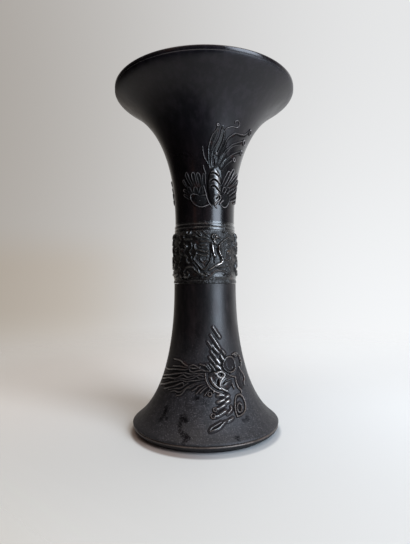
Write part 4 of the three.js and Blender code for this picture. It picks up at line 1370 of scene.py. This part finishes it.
def stains_and_shade(f):
    """1 in the dark stains on the foot and in the painted shade under the foot bird's tail, with ragged
    edges.
    """
    ragged = f.grain(1.0, 4, 0.7)
    share = 0.6 * f.between(f.grain(16, 2), 0.64, 0.74)
    # The first list is mostly stains, the second is painted shade.
    for stains, weight in ((FOOT_STAINS_AND_SHADE, 1.0), (TAIL_SHADE_SPOT, TAIL_SHADE_SHARE)):
        for pixel, radius in stains:
            (x, y), = traced(foot_wall, [pixel])
            middle = tuple(foot_wall.bend(x, y, 0.0, 0.0))
            edge = [reach * radius * MM for reach in SPOT_EDGE]
            share = share + weight * f.between(f.far_from(middle), *edge)
    return f.between(share + 3.6 * (ragged - 0.5), 0.4, 1.3)


def dark_bronze():
    f = Finish(bpy.data.materials.new("dark_bronze_patina"))
    height = f.axis(f.place(), "Z")
    ranges = (ON_FOOT, ON_MOUTH, ON_LIP, ON_STEM, UNDER_RIM, DULL_FOOT)
    on_foot, on_mouth, on_lip, on_stem, on_under, dulled = [f.between(height, *ends) for ends in ranges]
    on_rim = f.between(height, *RIM_LOW) * f.between(height, *RIM_HIGH)
    cloud = f.between(f.grain(26, 3), 0.35, 0.7)
    speck = f.between(f.grain(1.1, 3, 0.65), 0.53, 0.68)
    mottle = f.between(f.grain(3.5, 4, 0.6), 0.4, 0.68)
    streak = f.between(f.grain(5, 4, 0.6, (1.0, 1.0, 0.25)), 0.42, 0.66)
    dark_patch = stains_and_shade(f) * on_foot
    skin = f.blend(streak, f.blend(cloud, SKIN_BLACK, SKIN_BROWN), STEM_STREAK)
    skin = f.blend(0.5 * speck, skin, STEM_SPECK)
    dusty = f.blend(speck, f.blend(mottle, FOOT_DARK, FOOT_GREY), FOOT_SPECK)
    colour = f.blend(on_foot, skin, dusty)
    # Darkens the stains and the painted shade under the foot bird's tail.
    colour = f.blend(dark_patch * (0.7 + 0.25 * mottle), colour, STAIN_AND_SHADE_BLACK)
    colour = f.blend(0.8 * on_mouth, colour, f.blend(streak, MOUTH_DARK, MOUTH_COOL))
    colour = f.blend(0.3 * on_lip * (0.3 + 0.4 * cloud), colour, LIP_BROWN)
    # Painted highlight along the top of the foot's edge, then painted shadow on the face under it.
    colour = f.blend(on_rim * (0.5 + 0.4 * mottle), colour, RIM_HIGHLIGHT)
    colour = f.blend(0.75 * on_under, colour, UNDER_RIM_SHADOW)
    roughness = 0.18 + 0.08 * cloud + dulled * (0.13 + 0.06 * speck + 0.08 * mottle)
    roughness = roughness + on_mouth * (0.15 + 0.06 * streak) + on_stem * (0.15 + 0.08 * streak)
    roughness = roughness - 0.2 * on_lip - 0.2 * on_rim
    pitted = on_foot * (speck + 0.8 * mottle - dark_patch) + 0.25 * f.grain(0.5, 2) + 0.8 * f.grain(7, 2)
    bump = f.node("ShaderNodeBump", None, {"Height": pitted, "Strength": 0.14, "Distance": 0.2 * MM})
    return metal(f, colour, roughness, bump, 0.35 + 0.6 * dark_patch, shine=0.54)


dark = dark_bronze()
for piece in (upper, lower):
    piece.data.materials.append(dark)
print("dark bronze nodes:", len(dark.node_tree.nodes))

# %% [markdown]
# On the relief the skin wears where hands touch it, so the crests of the lines are paler and shine
# more, while the hollows beside them keep a dull black. The attribute crest, which the casting step
# stored, says which is which. The attribute polish marks the few strokes that are rubbed bright, and
# a little grain makes the wear uneven. The neck, the band and the foot differ in tone and shine.

# %% Finish of the relief
GRIME_BLACK = rgb(8, 7, 7)
COPPER_TINT = rgb(46, 26, 21)
CHASED_GREY = rgb(46, 42, 42)
HANDLED_GREY = rgb(112, 105, 101)
HANDLED_BRIGHT = rgb(196, 188, 182)


def relief_bronze(name, ground, rubbed, polished, metallic, coat, shine, dullness, grime):
    """Worn relief. metallic and coat are for the crests, shine and dullness for the whole."""
    f = Finish(bpy.data.materials.new(name))
    crest = f.node("ShaderNodeAttribute", {"attribute_name": "crest"}, out="Fac")
    polish = f.node("ShaderNodeAttribute", {"attribute_name": "polish"}, out="Fac")
    patch = f.between(f.grain(9, 3), 0.3, 0.75)
    grit = f.grain(0.7, 3)
    worn = f.between(crest + 0.3 * grit, 0.4, 1.2) * (0.45 + 0.55 * patch)
    hollow = grime * f.between(crest, -0.05, -0.4)
    raised = f.between(crest, 0.05, 0.5)
    gleam = polish * (1 - hollow) * (0.72 + 0.28 * f.between(f.grain(2.4, 3), 0.36, 0.52))
    bright = f.between(gleam, 0.82, 1.0)
    swirl = f.grain(5, 1)
    chased = f.between(swirl.sum("PINGPONG", swirl, 0.05), 0.015, 0.045)
    copper = f.between(f.grain(8, 2), 0.58, 0.68)
    colour = f.blend(0.5 * copper, ground, COPPER_TINT)
    colour = f.blend(0.25 * chased, colour, CHASED_GREY)
    colour = f.blend(hollow, colour, GRIME_BLACK)
    colour = f.blend(worn, colour, rubbed)
    colour = f.blend(0.8 * bright, colour, polished)
    roughness = dullness - 0.16 * worn + 0.3 * hollow - 0.2 * gleam - 0.12 * coat * raised
    tooled = (grit + 1.6 * chased) * (1 - 0.85 * gleam)
    bump = f.node("ShaderNodeBump", None, {"Height": tooled, "Strength": 0.4, "Distance": 0.3 * MM})
    metalness = 0.05 + metallic * worn + 0.6 * bright
    return metal(f, colour, roughness, bump, metalness, coat * raised + gleam, shine)


neck_patina = relief_bronze(
    "neck_relief_patina", rgb(11, 10, 11), rgb(138, 130, 128), HANDLED_GREY,
    metallic=0.1, coat=0.1, shine=0.06, dullness=0.48, grime=1.0,
)
band_patina = relief_bronze(
    "band_relief_patina", rgb(10, 8, 8), rgb(52, 46, 43), HANDLED_BRIGHT,
    metallic=0.55, coat=0.3, shine=0.36, dullness=0.28, grime=1.0,
)
foot_patina = relief_bronze(
    "foot_relief_patina", rgb(30, 27, 28), rgb(90, 78, 71), HANDLED_GREY,
    metallic=0.35, coat=0.8, shine=0.06, dullness=0.46, grime=0.9,
)
RELIEF_FINISHES = {
    neck_patina: (neck_front, neck_back),
    band_patina: (band,),
    foot_patina: (foot_front, foot_back),
}
for finish, pieces in RELIEF_FINISHES.items():
    for piece in pieces:
        piece.data.materials.append(finish)
    print(finish.name, "nodes:", len(finish.node_tree.nodes))

# %% [markdown]
# The pins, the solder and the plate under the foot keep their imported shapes. They are hidden or
# seen only from below, and get plain working finishes: dull bronze with tarnish, and grey solder.

# %% Finish of the joint and the base
def plain_metal(name, tone, dark_patch, lump_mm, roughness):
    f = Finish(bpy.data.materials.new(name))
    blotch = f.between(f.grain(lump_mm, 5), 0.35, 0.7)
    colour = f.blend(blotch, tone, dark_patch)
    filed = f.grain(1.2, 4)
    bump = f.node("ShaderNodeBump", None, {"Height": filed, "Strength": 0.3, "Distance": 0.3 * MM})
    return metal(f, colour, roughness + 0.15 * blotch, bump, 0.5)


PLAIN_FINISHES = {
    "joint_pin": plain_metal("pin_bronze_tarnish", rgb(86, 66, 48), rgb(40, 32, 27), 3, 0.4),
    "solder_ring": plain_metal("grey_solder", rgb(120, 118, 114), rgb(74, 72, 70), 4, 0.45),
    "base_plate": plain_metal("base_bronze_tarnish", rgb(64, 54, 44), rgb(36, 31, 28), 14, 0.5),
}
for name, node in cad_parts.items():
    for part, finish in PLAIN_FINISHES.items():
        if part in name:
            node.data.materials.clear()
            node.data.materials.append(finish)
            print(name, "takes", finish.name)
